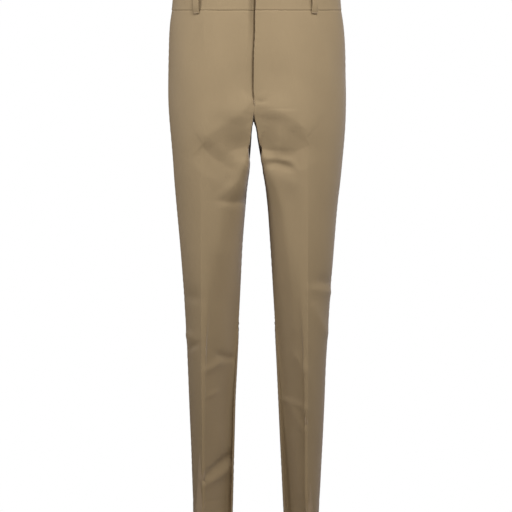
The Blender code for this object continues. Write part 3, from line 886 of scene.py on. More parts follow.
def group(name: str, inputs: dict[str, float], outputs: tuple[str, ...]) -> tuple:
    """A new shader node group with named number sockets.

    Args:
        name: The group's name.
        inputs: Its inputs and their values.
        outputs: Its outputs.

    Returns:
        The group's tree, its helper, its Group Input and its Group Output.
    """
    tree = bpy.data.node_groups.new(name, "ShaderNodeTree")
    for word, value in inputs.items():
        tree.interface.new_socket(word, in_out="INPUT", socket_type="NodeSocketFloat").default_value = value
    for word in outputs:
        tree.interface.new_socket(word, in_out="OUTPUT", socket_type="NodeSocketFloat")
    nodes = Nodes(tree)
    return tree, nodes, nodes.node("NodeGroupInput"), nodes.node("NodeGroupOutput")


@dataclass(frozen=True)
class Weave:
    """Twill: ribs of warp yarn that climb over the cloth, each broken where it goes under a weft yarn.

    Scales are per metre. The shares say how much each wave gives to the height.
    """

    rib_share: float = 0.38
    break_share: float = 0.12
    break_pace: float = 0.62
    slub_stretch: float = 0.04
    slub_scale: float = 900.0
    yarn_scale: float = 2600.0
    mottle_scale: float = 16.0
    mottle_roughness: float = 0.55

    def group(self) -> bpy.types.NodeTree:
        """The node group.

        The rib is a raised sine of (u · Slope Y + v · Slope X) · 2π / Pitch, and the break a raised sine
        along the rib. Mottle is the cloth's own slow change of tone, and Slub the streaks of thicker yarn
        along the warp.

        Returns:
            The group's tree.
        """
        inputs = {"Pitch": 0.0006, "Slope X": 0.45, "Slope Y": -0.89}
        tree, nodes, given, out = group("twill_weave", inputs, ("Height", "Yarn", "Mottle", "Slub"))
        uv = nodes.node("ShaderNodeUVMap", uv_map="cloth").outputs[0]
        place = nodes.node("ShaderNodeTexCoord").outputs["Object"]
        u, v = nodes.node("ShaderNodeSeparateXYZ", {0: uv}).outputs[:2]
        pitch, slope_x, slope_y = given.outputs[:3]
        rib = nodes.math("ADD", nodes.math("MULTIPLY", u, slope_y), nodes.math("MULTIPLY", v, slope_x))
        run = nodes.math("SUBTRACT", nodes.math("MULTIPLY", v, slope_y), nodes.math("MULTIPLY", u, slope_x))
        turn = nodes.math("DIVIDE", 2 * math.pi, pitch)
        rib = nodes.math("SINE", nodes.math("MULTIPLY", rib, turn))
        run = nodes.math("SINE", nodes.math("MULTIPLY", run, nodes.math("MULTIPLY", turn, self.break_pace)))
        rib = nodes.math("MULTIPLY", rib, self.rib_share)
        run = nodes.math("MULTIPLY", run, self.break_share)
        height = nodes.math("ADD", nodes.math("ADD", rib, run), 0.5)
        stretch = nodes.node("ShaderNodeMapping", {0: uv, 3: (1.0, self.slub_stretch, 1.0)}).outputs[0]
        mottle = nodes.noise(place, self.mottle_scale, 5.0, self.mottle_roughness)
        tree.links.new(height, out.inputs["Height"])
        tree.links.new(nodes.noise(uv, self.yarn_scale, 1.0), out.inputs["Yarn"])
        tree.links.new(mottle, out.inputs["Mottle"])
        tree.links.new(nodes.noise(stretch, self.slub_scale, 3.0), out.inputs["Slub"])
        return tree


@dataclass(frozen=True)
class Cloth:
    """A cotton cloth: its colour, the tone of its yarns, and how it takes light.

    Attributes:
        name: The material's name.
        colour: The light yarns' colour.
        deep: The colour between them, and the painted shade in the hollows.
        roughness: How rough it is.
        sheen: How strong the fibres' sheen is.
        pitch: The weave's pitch, in metres.
        slope: The direction of its ribs.
        weave: How strong the weave's bump is.
        tones: How much mottle, slub, weave and yarn each darken the cloth.
        relief_painted_shade: Painted shade in a hollow relief_depth millimetres deep, none on a rise as high.
        relief_depth: That depth, and the height at which the painted highlight on a pressed crease is palest.
    """

    name: str
    colour: tuple[float, float, float]
    deep: tuple[float, float, float]
    roughness: float = 0.84
    sheen: float = 0.34
    pitch: float = 0.0006
    slope: tuple[float, float] = (0.45, -0.89)
    weave: float = 0.35
    tones: tuple[float, float, float, float] = (0.12, 0.1, 0.16, 0.06)
    relief_painted_shade: float = 0.28
    relief_depth: float = 3.0

    def material(self, tree: bpy.types.NodeTree) -> bpy.types.Material:
        """The material: the two tones mixed by mottle, slub, weave and yarn and by painted shade from the
        attribute relief, with the weave as bump.

        Args:
            tree: The weave's node group.

        Returns:
            The material.
        """
        made = bpy.data.materials.new(self.name)
        made.use_nodes = True
        shader = made.node_tree.nodes["Principled BSDF"]
        nodes = Nodes(made.node_tree)
        weave = nodes.node("ShaderNodeGroup", node_tree=tree)
        for name, value in zip(("Pitch", "Slope X", "Slope Y"), (self.pitch, *self.slope)):
            weave.inputs[name].default_value = value
        relief = nodes.node("ShaderNodeAttribute", attribute_name="relief").outputs["Fac"]
        # Painted shade: darker where the relief attribute is low, paler where it is high.
        tone = nodes.ranged(relief, -self.relief_depth, self.relief_depth, self.relief_painted_shade, 0.0)
        for word, share in zip(("Mottle", "Slub", "Height", "Yarn"), self.tones):
            full = (0.0, 1.0) if word == "Height" else NOISE_RANGE
            tone = nodes.math("ADD", tone, nodes.ranged(weave.outputs[word], *full, share, 0.0))
        links = made.node_tree.links
        links.new(nodes.mix(tone, (*self.colour, 1.0), (*self.deep, 1.0)), shader.inputs["Base Color"])
        rough = (self.roughness - 0.04, self.roughness + 0.05)
        links.new(nodes.ranged(weave.outputs["Mottle"], *NOISE_RANGE, *rough), shader.inputs["Roughness"])
        inputs = {"Strength": self.weave, "Distance": 0.0002, "Height": weave.outputs["Height"]}
        links.new(nodes.node("ShaderNodeBump", inputs).outputs[0], shader.inputs["Normal"])
        shader.inputs["Specular IOR Level"].default_value = 0.25
        shader.inputs["Sheen Weight"].default_value = self.sheen
        shader.inputs["Sheen Roughness"].default_value = 0.45
        shader.inputs["Sheen Tint"].default_value = (0.8, 0.76, 0.8, 1.0)
        return made


@dataclass(frozen=True)
class Metal:
    """A satin metal with fine brushing and dulled patches.

    Attributes:
        name: The material's name.
        colour: The metal's colour.
        roughness: Its roughness where it is neither scratched nor dulled.
        dulled: How much of the colour is left in a dulled patch.
        stretch: How much longer than wide the scratches are.
        scratch_scale: How close the scratches lie, per metre.
        patch_scale: How close the patches lie, per metre.
    """

    name: str
    colour: tuple[float, float, float]
    roughness: float = 0.32
    dulled: float = 0.72
    stretch: float = 60.0
    scratch_scale: float = 60.0
    patch_scale: float = 220.0

    def material(self) -> bpy.types.Material:
        """The material: metallic, its roughness raised by long scratches and a slow mottle.

        Returns:
            The material.
        """
        made = bpy.data.materials.new(self.name)
        made.use_nodes = True
        shader = made.node_tree.nodes["Principled BSDF"]
        nodes = Nodes(made.node_tree)
        place = nodes.node("ShaderNodeTexCoord").outputs["Object"]
        long = nodes.node("ShaderNodeMapping", {0: place, 3: (self.stretch, self.stretch, 1.0)}).outputs[0]
        scratch = nodes.noise(long, self.scratch_scale, 4.0)
        patch = nodes.noise(place, self.patch_scale, 3.0)
        rough = nodes.ranged(scratch, *NOISE_RANGE, self.roughness - 0.08, self.roughness + 0.1)
        rough = nodes.math("ADD", rough, nodes.ranged(patch, 0.35, 0.7, 0.0, 0.12))
        dull = tuple(self.dulled * c for c in self.colour)
        links = made.node_tree.links
        colour = nodes.mix(nodes.ranged(patch, 0.45, 0.75, 0.0, 0.6), (*self.colour, 1.0), (*dull, 1.0))
        links.new(colour, shader.inputs["Base Color"])
        links.new(rough, shader.inputs["Roughness"])
        shader.inputs["Metallic"].default_value = 1.0
        bump = nodes.node("ShaderNodeBump", {"Strength": 0.2, "Distance": 0.00002, "Height": scratch})
        links.new(bump.outputs[0], shader.inputs["Normal"])
        return made


class Wardrobe:
    """Every finish, made once."""

    def __init__(self) -> None:
        """Builds the weave's node group, then the materials."""
        tree = Weave().group()
        twill = Cloth("khaki_twill", (0.378, 0.283, 0.166), (0.262, 0.192, 0.108))
        wrong = Cloth(
            "khaki_twill_wrong_side",
            (0.395, 0.300, 0.200),
            (0.285, 0.212, 0.138),
            roughness=0.9,
            sheen=0.15,
            slope=(-0.45, -0.89),
        )
        thread = Cloth(
            "khaki_thread",
            (0.420, 0.318, 0.205),
            (0.300, 0.222, 0.135),
            roughness=0.6,
            sheen=0.3,
            pitch=0.0004,
            slope=(0.9, 0.45),
            weave=0.6,
        )
        tape = Cloth(
            "zip_tape",
            (0.330, 0.250, 0.165),
            (0.230, 0.172, 0.112),
            roughness=0.75,
            sheen=0.2,
            pitch=0.0009,
            slope=(0.0, 1.0),
            weave=0.5,
        )
        self.twill, self.wrong = twill.material(tree), wrong.material(tree)
        self.thread, self.tape = thread.material(tree), tape.material(tree)
        self.steel = Metal("steel", (0.62, 0.60, 0.57)).material()


@dataclass
class Panels:
    """The fronts and the backs, each one piece from the hem to the waist seam.

    Sizes are in millimetres, apart from the flats, which are in metres.

    Attributes:
        form: The garment's surface.
        wardrobe: The finishes.
        cloth: The cloth's thickness.
        folded_cloth: Its thickness where it is folded double.
        hem_depth: How deep the hem's turn-up is.
        hem_run: How far the turn-up's upper edge thins out.
        allowance: The seam allowances' width.
        allowance_run: How far their edges thin out.
        allowance_share: Their share of the folded cloth's extra thickness.
        fly_end_z: The height of the fly's end.
        fly_run: How far above it the fly takes to come in.
        underlap: How far the right front goes on behind the left one.
        facing_width: The width of the facing behind the left front's edge.
        facing_edge: How far the facing's edge thins out.
        sink_run: How far from the fly's edge the right front starts to sink.
        sink_level: How far from it the right front has sunk.
        valley_out: How far from the fly's edge the wide valley lies.
        valley_run: The valley's run, as a Line's.
        groove_out: How far from the fly's edge the narrow groove lies.
        groove_run: The groove's run.
        leg_rows: How many rows of faces a leg has.
        seat_rows: How many there are from the fork to the waist.
        crowding: How much closer the rows are at the fork than at the hem.
        seam_steps: How finely the centre seam is measured.
        front_columns: A front's columns from the side seam to the crease, and on to the inner edge.
        back_columns: A back's.
        border_u: How far the grid goes past the seams, in u, so that normals and lengths are right there.
        border_z: How far it goes past the hem and the waist.
        seam_fade: How far from a seam the folds reach their height.
        sewn_run: How far above the fly's end its edge is still sewn down.
        rise_run: How far above the fork the sewn part of the rise seam comes in.
        side_pucker: The side seam's puckers.
        inner_pucker: The puckers of the inseam and of the centre seams.
        waist_pucker: The waist seam's puckers.
        side_seam: The side seam's dip.
        inner_seam: The dip of the inner edge.
        sewn_seam: What a sewn inner edge adds to it.
        rise_seam: What the rise seam under the fly adds.
        waist_seam: The waist seam's dip.
        crease_ridge: The pressed crease's ridge.
        crease_painted_highlight: The painted highlight along the pressed crease, added to the relief.
        stitch_line: The line of hidden stitches above the hem.
        stitch_up: How far it lies above the turn-up's edge.
        stitch_pitch: The stitches' pitch.
        stitch_dip: How much the line's depth changes from stitch to stitch.
        turn_up: How far the turn-up stands out.
        turn_up_run: How far it takes to.
        flats: Each cut piece's width, length and area. Not used.
    """

    form: Form
    wardrobe: Wardrobe
    cloth: float = 1.2
    folded_cloth: float = 2.2
    hem_depth: float = 40.0
    hem_run: float = 3.0
    allowance: float = 13.0
    allowance_run: float = 1.5
    allowance_share: float = 0.5
    fly_end_z: float = -205.0
    fly_run: float = 20.0
    underlap: float = 6.0
    facing_width: float = 38.0
    facing_edge: float = 8.0
    sink_run: float = 16.0
    sink_level: float = 2.0
    valley_out: float = 8.5
    valley_run: float = 4.6
    groove_out: float = 1.6
    groove_run: float = 2.3
    leg_rows: int = 262
    seat_rows: int = 84
    crowding: float = 0.3
    seam_steps: int = 800
    front_columns: tuple[int, int] = (36, 58)
    back_columns: tuple[int, int] = (30, 48)
    border_u: float = 0.01
    border_z: float = 3.0
    seam_fade: float = 9.0
    sewn_run: float = 6.0
    rise_run: float = 4.0
    side_pucker: Pucker = Pucker(0.30, 15.0, 1.9, 9.0)
    inner_pucker: Pucker = Pucker(0.34, 13.0, 4.1, 9.0)
    waist_pucker: Pucker = Pucker(0.22, 19.0, 2.2, 10.0)
    side_seam: Line = Line(-0.75, 1.5)
    inner_seam: Line = Line(-0.35, 1.5)
    sewn_seam: Line = Line(-0.4, 1.5)
    rise_seam: Line = Line(-1.5, 2.6)
    waist_seam: Line = Line(-0.15, 1.3)
    crease_ridge: Line = Line(0.35, 1.5)
    # A painted highlight along the pressed crease.
    crease_painted_highlight: Line = Line(4.5, 1.3)
    stitch_line: Line = Line(-0.5, 2.4)
    stitch_up: float = 2.0
    stitch_pitch: float = 8.0
    stitch_dip: float = 0.25
    turn_up: float = 0.35
    turn_up_run: float = 6.0
    flats: dict[str, tuple[float, float, float]] = field(
        default_factory=lambda: {
            "front_right": (0.285, 1.052, 0.238),
            "front_left": (0.285, 1.052, 0.238),
            "back_right": (0.300, 1.075, 0.235),
            "back_left": (0.300, 1.075, 0.235),
        }
    )

    def levels(self, side: Side) -> tuple[Array, Array]:
        """The rows' levels at the side seam and at the inner edge, with a border row at each end.

        Below the fork both are the same. Above it the inner ends are spaced evenly along the centre seam.

        Args:
            side: The front or the back.

        Returns:
            The levels at the side seam, and those at the inner edge.
        """
        form = self.form
        share = np.linspace(0, 1, self.leg_rows + 1)
        share = (1 + self.crowding) * share - self.crowding * share**2
        leg = form.hem_z + (form.fork_z - form.hem_z) * share
        rise = np.linspace(0, 1, self.seat_rows + 1)[1:]
        z = form.fork_z + (form.waist_z - form.fork_z) * np.linspace(0, 1, self.seam_steps) ** 2
        steps = np.hypot(np.diff(form.centre_seam(z, side)[0]), np.diff(z))
        length = np.concatenate(([0.0], np.cumsum(steps)))
        outer = form.fork_z + (form.waist_z - form.fork_z) * rise
        inner = np.interp(rise * length[-1], length, z)
        low, high = [form.hem_z - self.border_z], [form.waist_z + self.border_z]
        return np.concatenate((low, leg, outer, high)), np.concatenate((low, leg, inner, high))

    def past_edge(self, points: Array) -> Array:
        """How far points lie past the line of the fly's edge, towards the wearer's left."""
        return points[..., 0] - along(CENTRE, "front", points[..., 2])

    def groove(self, past: Array, z: Array) -> Array:
        """How far the right front falls back in the narrow shadow line along the fly's edge."""
        return along(CENTRE, "groove", z) * bell(past + self.groove_out, self.groove_run)

    def lapped(self, leg: Leg, points: Array) -> Array:
        """Points moved back or forth by the fly: the left front stands out at its edge, the right one sinks.

        Beside the edge the right front has a wide valley, and a narrow groove in it that reads as a shadow.

        Args:
            leg: The half.
            points: The points.

        Returns:
            The moved points.
        """
        z, past = points[..., 2], self.past_edge(points)
        if leg is Leg.LEFT:
            shift = -along(CENTRE, "lift", z) * ease(1 - past / self.facing_width)
        else:
            sunk = ease((past + self.sink_run) / (self.sink_run - self.sink_level))
            valley = bell(past + self.valley_out, self.valley_run)
            shift = along(CENTRE, "sink", z) * sunk + along(CENTRE, "valley", z) * valley
            shift = shift + self.groove(past, z)
        points = points.copy()
        points[..., 1] += np.where((z > self.form.fork_z) & (points[..., 1] < 0), shift, 0)
        return points

    @staticmethod
    def unevenness(x: Array, z: Array, seed: float) -> Array:
        """Slow waves in the cloth: 0.30 sin(x / 23 + s) sin(z / 41 + 2 s) + 0.22 sin(x / 11 + z / 29)."""
        broad = np.sin(x / 23.0 + seed) * np.sin(z / 41.0 + 2 * seed)
        return 0.30 * broad + 0.22 * np.sin(x / 11.0 + z / 29.0)

    def relief(self, leg: Leg, side: Side, points: Array, u: Array) -> tuple[Array, Array, Array]:
        """How far each point stands off the smooth form, and how far the nearest long seam is.

        It adds up the folds, which die away at the seams, the puckers along the seams, the dip of each seam,
        the pressed crease's ridge, the hem's line of hidden stitches and a slow unevenness of the cloth.

        Args:
            leg: The half.
            side: The front or the back.
            points: The smooth form's grid, with its border.
            u: The columns' places across.

        Returns:
            The heights, the distances to the nearer of the side seam and the inner edge, and the painted
            highlight along the pressed crease.
        """
        x, z = points[..., 0], points[..., 2]
        front = side is Side.FRONT
        run, climb = lengths_along(points, 1), lengths_along(points, 0)
        outer, inner = run - run[:, 1:2], run[:, -2:-1] - run
        crease = run - run[:, np.argmin(np.abs(u - 1))][:, None]
        waist = climb[-2] - climb
        fade = ease(outer / self.seam_fade) * ease(inner / self.seam_fade)
        total = folded(FRONT_FOLDS if front else BACK_FOLDS, leg, x, z) * fade
        total = total + self.side_pucker.at(z, outer) + self.inner_pucker.at(z, inner)
        sewn = 1 - ease((z - self.fly_end_z) / self.sewn_run) * front
        rise = sewn * ease((z - self.form.fork_z) / self.rise_run) * front
        total = total + self.side_seam.at(outer) + self.inner_seam.at(inner)
        total = total + self.sewn_seam.at(inner) * sewn + self.rise_seam.at(inner) * rise
        total = total + self.waist_seam.at(waist) + self.waist_pucker.at(x, waist)
        pressed = along(CREASE, "press", z) / CREASE["press"][0]
        total = total + self.crease_ridge.at(crease) * pressed
        seed = 1.0 + 2.0 * (leg is Leg.LEFT) + 0.7 * (side is Side.BACK)
        stitch = z - (self.form.hem_z + self.hem_depth + self.stitch_up)
        depth = 1 - self.stitch_dip + self.stitch_dip * np.cos(2 * math.pi * run / self.stitch_pitch + seed)
        total = total + self.stitch_line.at(stitch) * depth + self.turn_up * ease(-stitch / self.turn_up_run)
        total = total + self.unevenness(x, z, seed) * fade
        # Painted highlight: the crease's line goes to the relief attribute only, so that the material is
        # paler there.
        return total, np.minimum(np.abs(outer), np.abs(inner)), self.crease_painted_highlight.at(crease) * pressed

    def build(self, leg: Leg, side: Side) -> Piece:
        """Builds a front or a back: the relief stands on the form along its normal, the wall lies behind.

        Args:
            leg: The half.
            side: The front or the back.

        Returns:
            The piece.
        """
        front = side is Side.FRONT
        outer_columns, inner_columns = self.front_columns if front else self.back_columns
        spaced = spread(outer_columns, 0, 1), spread(inner_columns, 1, 2)[1:]
        u = np.concatenate(([-self.border_u], *spaced, [2 + self.border_u]))
        low, high = self.levels(side)
        share = ease(u / 2)
        level = low[:, None] * (1 - share) + high[:, None] * share
        points = self.form.surface(leg, u, level, side)
        turned = -side.value * leg.value
        relief, seam, painted_crease_highlight = self.relief(leg, side, points, u)
        points = points + normals(points, turned) * relief[..., None]
        doubled = ease((self.form.hem_z + self.hem_depth - level) / self.hem_run)
        if front:
            reached = ease((level - self.fly_end_z) / self.fly_run)
            if leg is Leg.RIGHT:
                points[..., 0] += self.underlap * reached * np.clip(u - 1, 0, None) ** 2
            else:
                facing = reached * ease((self.facing_width - self.past_edge(points)) / self.facing_edge)
                doubled = np.maximum(doubled, facing)
            points = self.lapped(leg, points)
        allowance = self.allowance_share * ease((self.allowance - seam) / self.allowance_run)
        doubled = np.maximum(doubled, allowance)
        thickness = self.cloth + (self.folded_cloth - self.cloth) * doubled[1:-1, 1:-1, None]
        normal = normals(points, turned)[1:-1, 1:-1]
        inseam = np.where(np.arange(points.shape[0] - 2) <= self.leg_rows, GAP / 2, 0)
        outer = trimmed(points[1:-1, 1:-1], GAP / 2, inseam, 0, GAP / 2)
        name = f"{side.word}_{leg.word}"
        materials = [self.wardrobe.twill, self.wardrobe.wrong]
        inner = outer - normal * thickness
        # The relief attribute carries the heights and the crease's painted highlight, for the material's
        # painted shade.
        made = MeshMaker.shell("cloth_" + name, outer, inner, materials, extra=(relief + painted_crease_highlight)[1:-1, 1:-1])
        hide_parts(name)
        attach(made, "root")
        return made

    def build_all(self) -> list[Piece]:
        """Builds the four panels.

        Returns:
            The pieces.
        """
        made = []
        for leg in Leg:
            for side in Side:
                piece = self.build(leg, side)
                made.append(piece)
        return made


@dataclass
class Waistband:
    """The waistband in two halves, joined by the centre back seam and lapped in front.

    Sizes are in millimetres, apart from the flats, which are in metres.

    Attributes:
        panels: The panels that it joins.
        height: The band's height.
        proud: How far its face stands off the form.
        cloth: Its thickness.
        underlap: How far the right half goes on behind the left one.
        underlap_start: How far past the fly's edge the underlap's own columns stop.
        underlap_columns: How many there are.
        crown: How far the face is crowned across its height.
        seam_edge: How it draws in at the waist seam.
        roll: The roll of cloth above that seam.
        roll_up: How far above the seam the roll lies.
        top_edge: How it draws in at its top.
        back_edge: How it draws in at the centre back seam.
        wave: The height, period and seed of its slow waves.
        wave_run: How far from the top and the seam the waves reach their height.
        pucker: The puckers above the waist seam.
        bulge: How far its edges are rounded, as a share of the thickness.
        rows: How many rows of faces it has.
        columns: How many columns each side of a half has.
        flats: Each half's cut length and height, folded. Not used.
    """

    panels: Panels
    height: float = 40.0
    proud: float = 0.5
    cloth: float = 2.2
    underlap: float = 40.0
    underlap_start: float = 3.0
    underlap_columns: int = 24
    crown: float = 0.25
    seam_edge: Line = Line(-0.8, 1.4)
    roll: Line = Line(0.3, 1.7)
    roll_up: float = 3.0
    top_edge: Line = Line(-0.5, 1.5)
    back_edge: Line = Line(-0.6, 1.6)
    wave: tuple[float, float, float] = (0.16, 23.0, 1.3)
    wave_run: float = 12.0
    pucker: Pucker = Pucker(0.16, 14.0, 2.6, 7.0)
    bulge: float = 0.45
    rows: int = 22
    columns: int = 110
    flats: dict[str, tuple[float, float]] = field(
        default_factory=lambda: {"right": (0.485, 0.040), "left": (0.435, 0.040)}
    )

    def lift(self, rise: Array, run: Array) -> Array:
        """How far the band's face stands off the form.

        It is crowned across its height, drawn in over about 1.5 mm at the waist seam, at the top and at the
        centre back seam, and rolls out 3 mm above the waist seam. Slow waves and puckers are added.

        Args:
            rise: Heights above the waist seam.
            run: Lengths along the band.

        Returns:
            The distances.
        """
        lift = self.proud + self.crown * np.sin(math.pi * rise / self.height) + self.seam_edge.at(rise)
        lift = lift + self.roll.at(rise - self.roll_up) + self.top_edge.at(self.height - rise)
        lift = lift + self.back_edge.at(run[:, -2:-1] - run)
        wave, period, seed = self.wave
        middle = ease(rise / self.wave_run) * ease((self.height - rise) / self.wave_run)
        return lift + wave * waver(run, period, seed) * middle + self.pucker.at(run, rise)

    def build(self, leg: Leg) -> Piece:
        """Builds a half, from its front end round to the centre back seam.

        Args:
            leg: The half.

        Returns:
            The piece.
        """
        form = self.panels.form
        levels = spread(self.rows, form.waist_z, form.waist_z + self.height)[:, None]
        u = np.linspace(0, 2, self.columns + 1)
        front = form.surface(leg, u[::-1], levels, Side.FRONT)
        points = np.concatenate((front, form.surface(leg, u[1:], levels, Side.BACK)), axis=1)
        if leg is Leg.RIGHT:
            past = np.linspace(self.underlap, self.underlap_start, self.underlap_columns)
            u = form.across(Leg.LEFT, along(CENTRE, "front", 0.0) + past, 0.0, Side.FRONT)
            points = np.concatenate((form.surface(Leg.LEFT, u, levels, Side.FRONT), points), axis=1)
        points = np.pad(points, ((1, 1), (1, 1), (0, 0)), mode="reflect", reflect_type="odd")
        rise = (levels - form.waist_z).ravel()
        rise = np.concatenate((rise[:1], rise, rise[-1:]))[:, None]
        lift = self.lift(rise, lengths_along(points, 1))
        points = self.panels.lapped(leg, points + normals(points, -leg.value) * lift[..., None])
        normal = normals(points, -leg.value)[1:-1, 1:-1]
        outer = trimmed(points[1:-1, 1:-1], 0, GAP / 2, GAP / 2, 0)
        materials = [self.panels.wardrobe.twill, self.panels.wardrobe.twill]
        # The band's relief goes to the material as painted shade at its drawn-in edges.
        relief = (lift - self.proud)[1:-1, 1:-1]
        inner = outer - normal * self.cloth
        made = MeshMaker.shell("cloth_waistband_" + leg.word, outer, inner, materials, self.bulge, relief)
        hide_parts("waistband_" + leg.word)
        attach(made, "root")
        return made


@dataclass
class BeltLoops:
    """Five belt loops, each a folded strip tacked at the waist seam and at the top of the waistband.

    Sizes are in millimetres, apart from the flat one, which is in metres. Places across a strip are shares of
    half its width.

    Attributes:
        form: The garment's surface.
        wardrobe: The finishes.
        width: A strip's width.
        cloth: Its thickness in the middle.
        nearby: How far to each side, in u, the form's direction is read.
        proud: How far the waistband stands off the form.
        proud_below: How far below the waist seam a strip starts to follow that.
        proud_run: How far it takes to.
        crown: How much thinner a strip is at its sides than in the middle.
        stitches: The dip of the row of stitches along each side.
        stitch_place: Where they lie across.
        stitch_pitch: Their pitch.
        stitch_share: How much the crown changes from stitch to stitch.
        bulge: How far the edges are rounded, as a share of the thickness.
        rows: How many rows of faces a strip has.
        columns: How many columns.
        tacks: The lowest and the highest level of each bar tack.
        tack_reach: How far across a tack reaches.
        tack_threads: How many ridges of thread there are to half a strip's width.
        tack_round: How much of its ridges' round is left out at the top and the bottom, in radians.
        tack_lift: How far its lowest parts stand off the strip.
        tack_rise: How high the ridges stand on them.
        tack_sunk: How far its underside lies in the strip.
        tack_bulge: How far its edges are rounded.
        tack_rows: How many rows of points it has.
        tack_columns: How many columns.
        flat: A cut strip's folded width and length. Not used.
        places: Where each strip's middle is, from the front.
    """

    form: Form
    wardrobe: Wardrobe
    width: float = 12.0
    cloth: float = 1.9
    nearby: float = 0.03
    proud: float = 0.5
    proud_below: float = 7.0
    proud_run: float = 4.0
    crown: float = 0.3
    stitches: Line = Line(-0.2, 0.1)
    stitch_place: float = 0.72
    stitch_pitch: float = 2.6
    stitch_share: float = 0.3
    bulge: float = 0.45
    rows: int = 64
    columns: int = 14
    tacks: tuple[tuple[str, float, float], ...] = (("low", -26.6, -24.4), ("top", 16.6, 18.8))
    tack_reach: float = 0.9
    tack_threads: int = 9
    tack_round: float = 0.25
    tack_lift: float = 0.1
    tack_rise: float = 0.35
    tack_sunk: float = 0.25
    tack_bulge: float = 0.2
    tack_rows: int = 7
    tack_columns: int = 61
    flat: tuple[float, float] = (0.012, 0.055)
    places: dict[str, float] = field(
        default_factory=lambda: {
            "front_right": -117.0,
            "front_left": 111.0,
            "back_right": -104.0,
            "back_left": 102.0,
            "centre": 0.0,
        }
    )

    def tack(self, name: str, line: Array, way: Array, away: Array) -> Piece:
        """Builds a bar tack: a low pad with ridges of thread, |sin(9 π a)| across times a sine along it.

        Args:
            name: The piece's name.
            line: The points of the strip's middle that it covers.
            way: The direction across the strip.
            away: The direction off the cloth.

        Returns:
            The piece.
        """
        across = np.linspace(-self.tack_reach, self.tack_reach, self.tack_columns)
        base = line[:, None] + way * across[:, None] * self.width / 2
        swell = np.sin(np.linspace(self.tack_round, math.pi - self.tack_round, self.tack_rows))
        pad = np.abs(np.sin(across * math.pi * self.tack_threads))[None] * swell[:, None]
        top = base + away * (self.tack_lift + self.tack_rise * pad)[..., None]
        materials = [self.wardrobe.thread, self.wardrobe.thread]
        # The thread's ridges go to the material as relief, painted paler than the pad between them.
        return MeshMaker.shell(name, top, base - away * self.tack_sunk, materials, self.tack_bulge, pad)

    def build(self, place: str, x: float) -> list[Piece]:
        """Builds a loop and its two bar tacks.

        The strip is crowned, and has a row of stitches sunk into it along each side.

        Args:
            place: The loop's name.
            x: Where its middle is, from the front.

        Returns:
            The pieces.
        """
        side = Side.FRONT if place.startswith("front") else Side.BACK
        leg = Leg.LEFT if x > 0 else Leg.RIGHT
        u = float(self.form.across(leg, x, 0.0, side))
        ends = self.form.surface(leg, np.array((u - self.nearby, u + self.nearby)), 0.0, side)
        way = unit((ends[1] - ends[0]) * (1, 1, 0))
        away = np.cross(way, (0, 0, 1))
        away *= np.sign(away[1] * side.value)
        level = np.linspace(LOOP["level"][0], LOOP["level"][-1], self.rows + 1)
        middle = self.form.surface(leg, u, level, side)
        clear = along(LOOP, "clear", level, "level")
        clear = clear + self.proud * ease((level - self.form.waist_z + self.proud_below) / self.proud_run)
        across = np.linspace(-1, 1, self.columns + 1)
        inner = middle[:, None] + way * across[:, None] * self.width / 2 + away * clear[:, None, None]
        crown = self.crown * (1 - across**2) + self.stitches.at(np.abs(across) - self.stitch_place)
        pull = 1 + self.stitch_share * np.cos(2 * math.pi * level / self.stitch_pitch)
        crown = crown[None] * pull[:, None]
        outer = inner + away * (self.cloth - self.crown + crown)[..., None]
        materials = [self.wardrobe.twill, self.wardrobe.twill]
        # The crown and the stitches' dips go to the material as relief, painted darker in the dips.
        made = MeshMaker.shell(f"cloth_belt_loop_{place}", outer, inner, materials, self.bulge, crown)
        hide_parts("belt_loop_" + place)
        pieces = [made]
        for word, low, high in self.tacks:
            at = np.linspace(low, high, self.tack_rows)
            line = np.stack([np.interp(at, level, outer[:, self.columns // 2, k]) for k in range(3)], axis=-1)
            pieces.append(self.tack(f"tack_{place}_{word}", line, way, away))
        for piece in pieces:
            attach(piece, "root")
        return pieces

    def build_all(self) -> list[Piece]:
        """Builds every loop."""
        return [piece for place, x in self.places.items() for piece in self.build(place, x)]


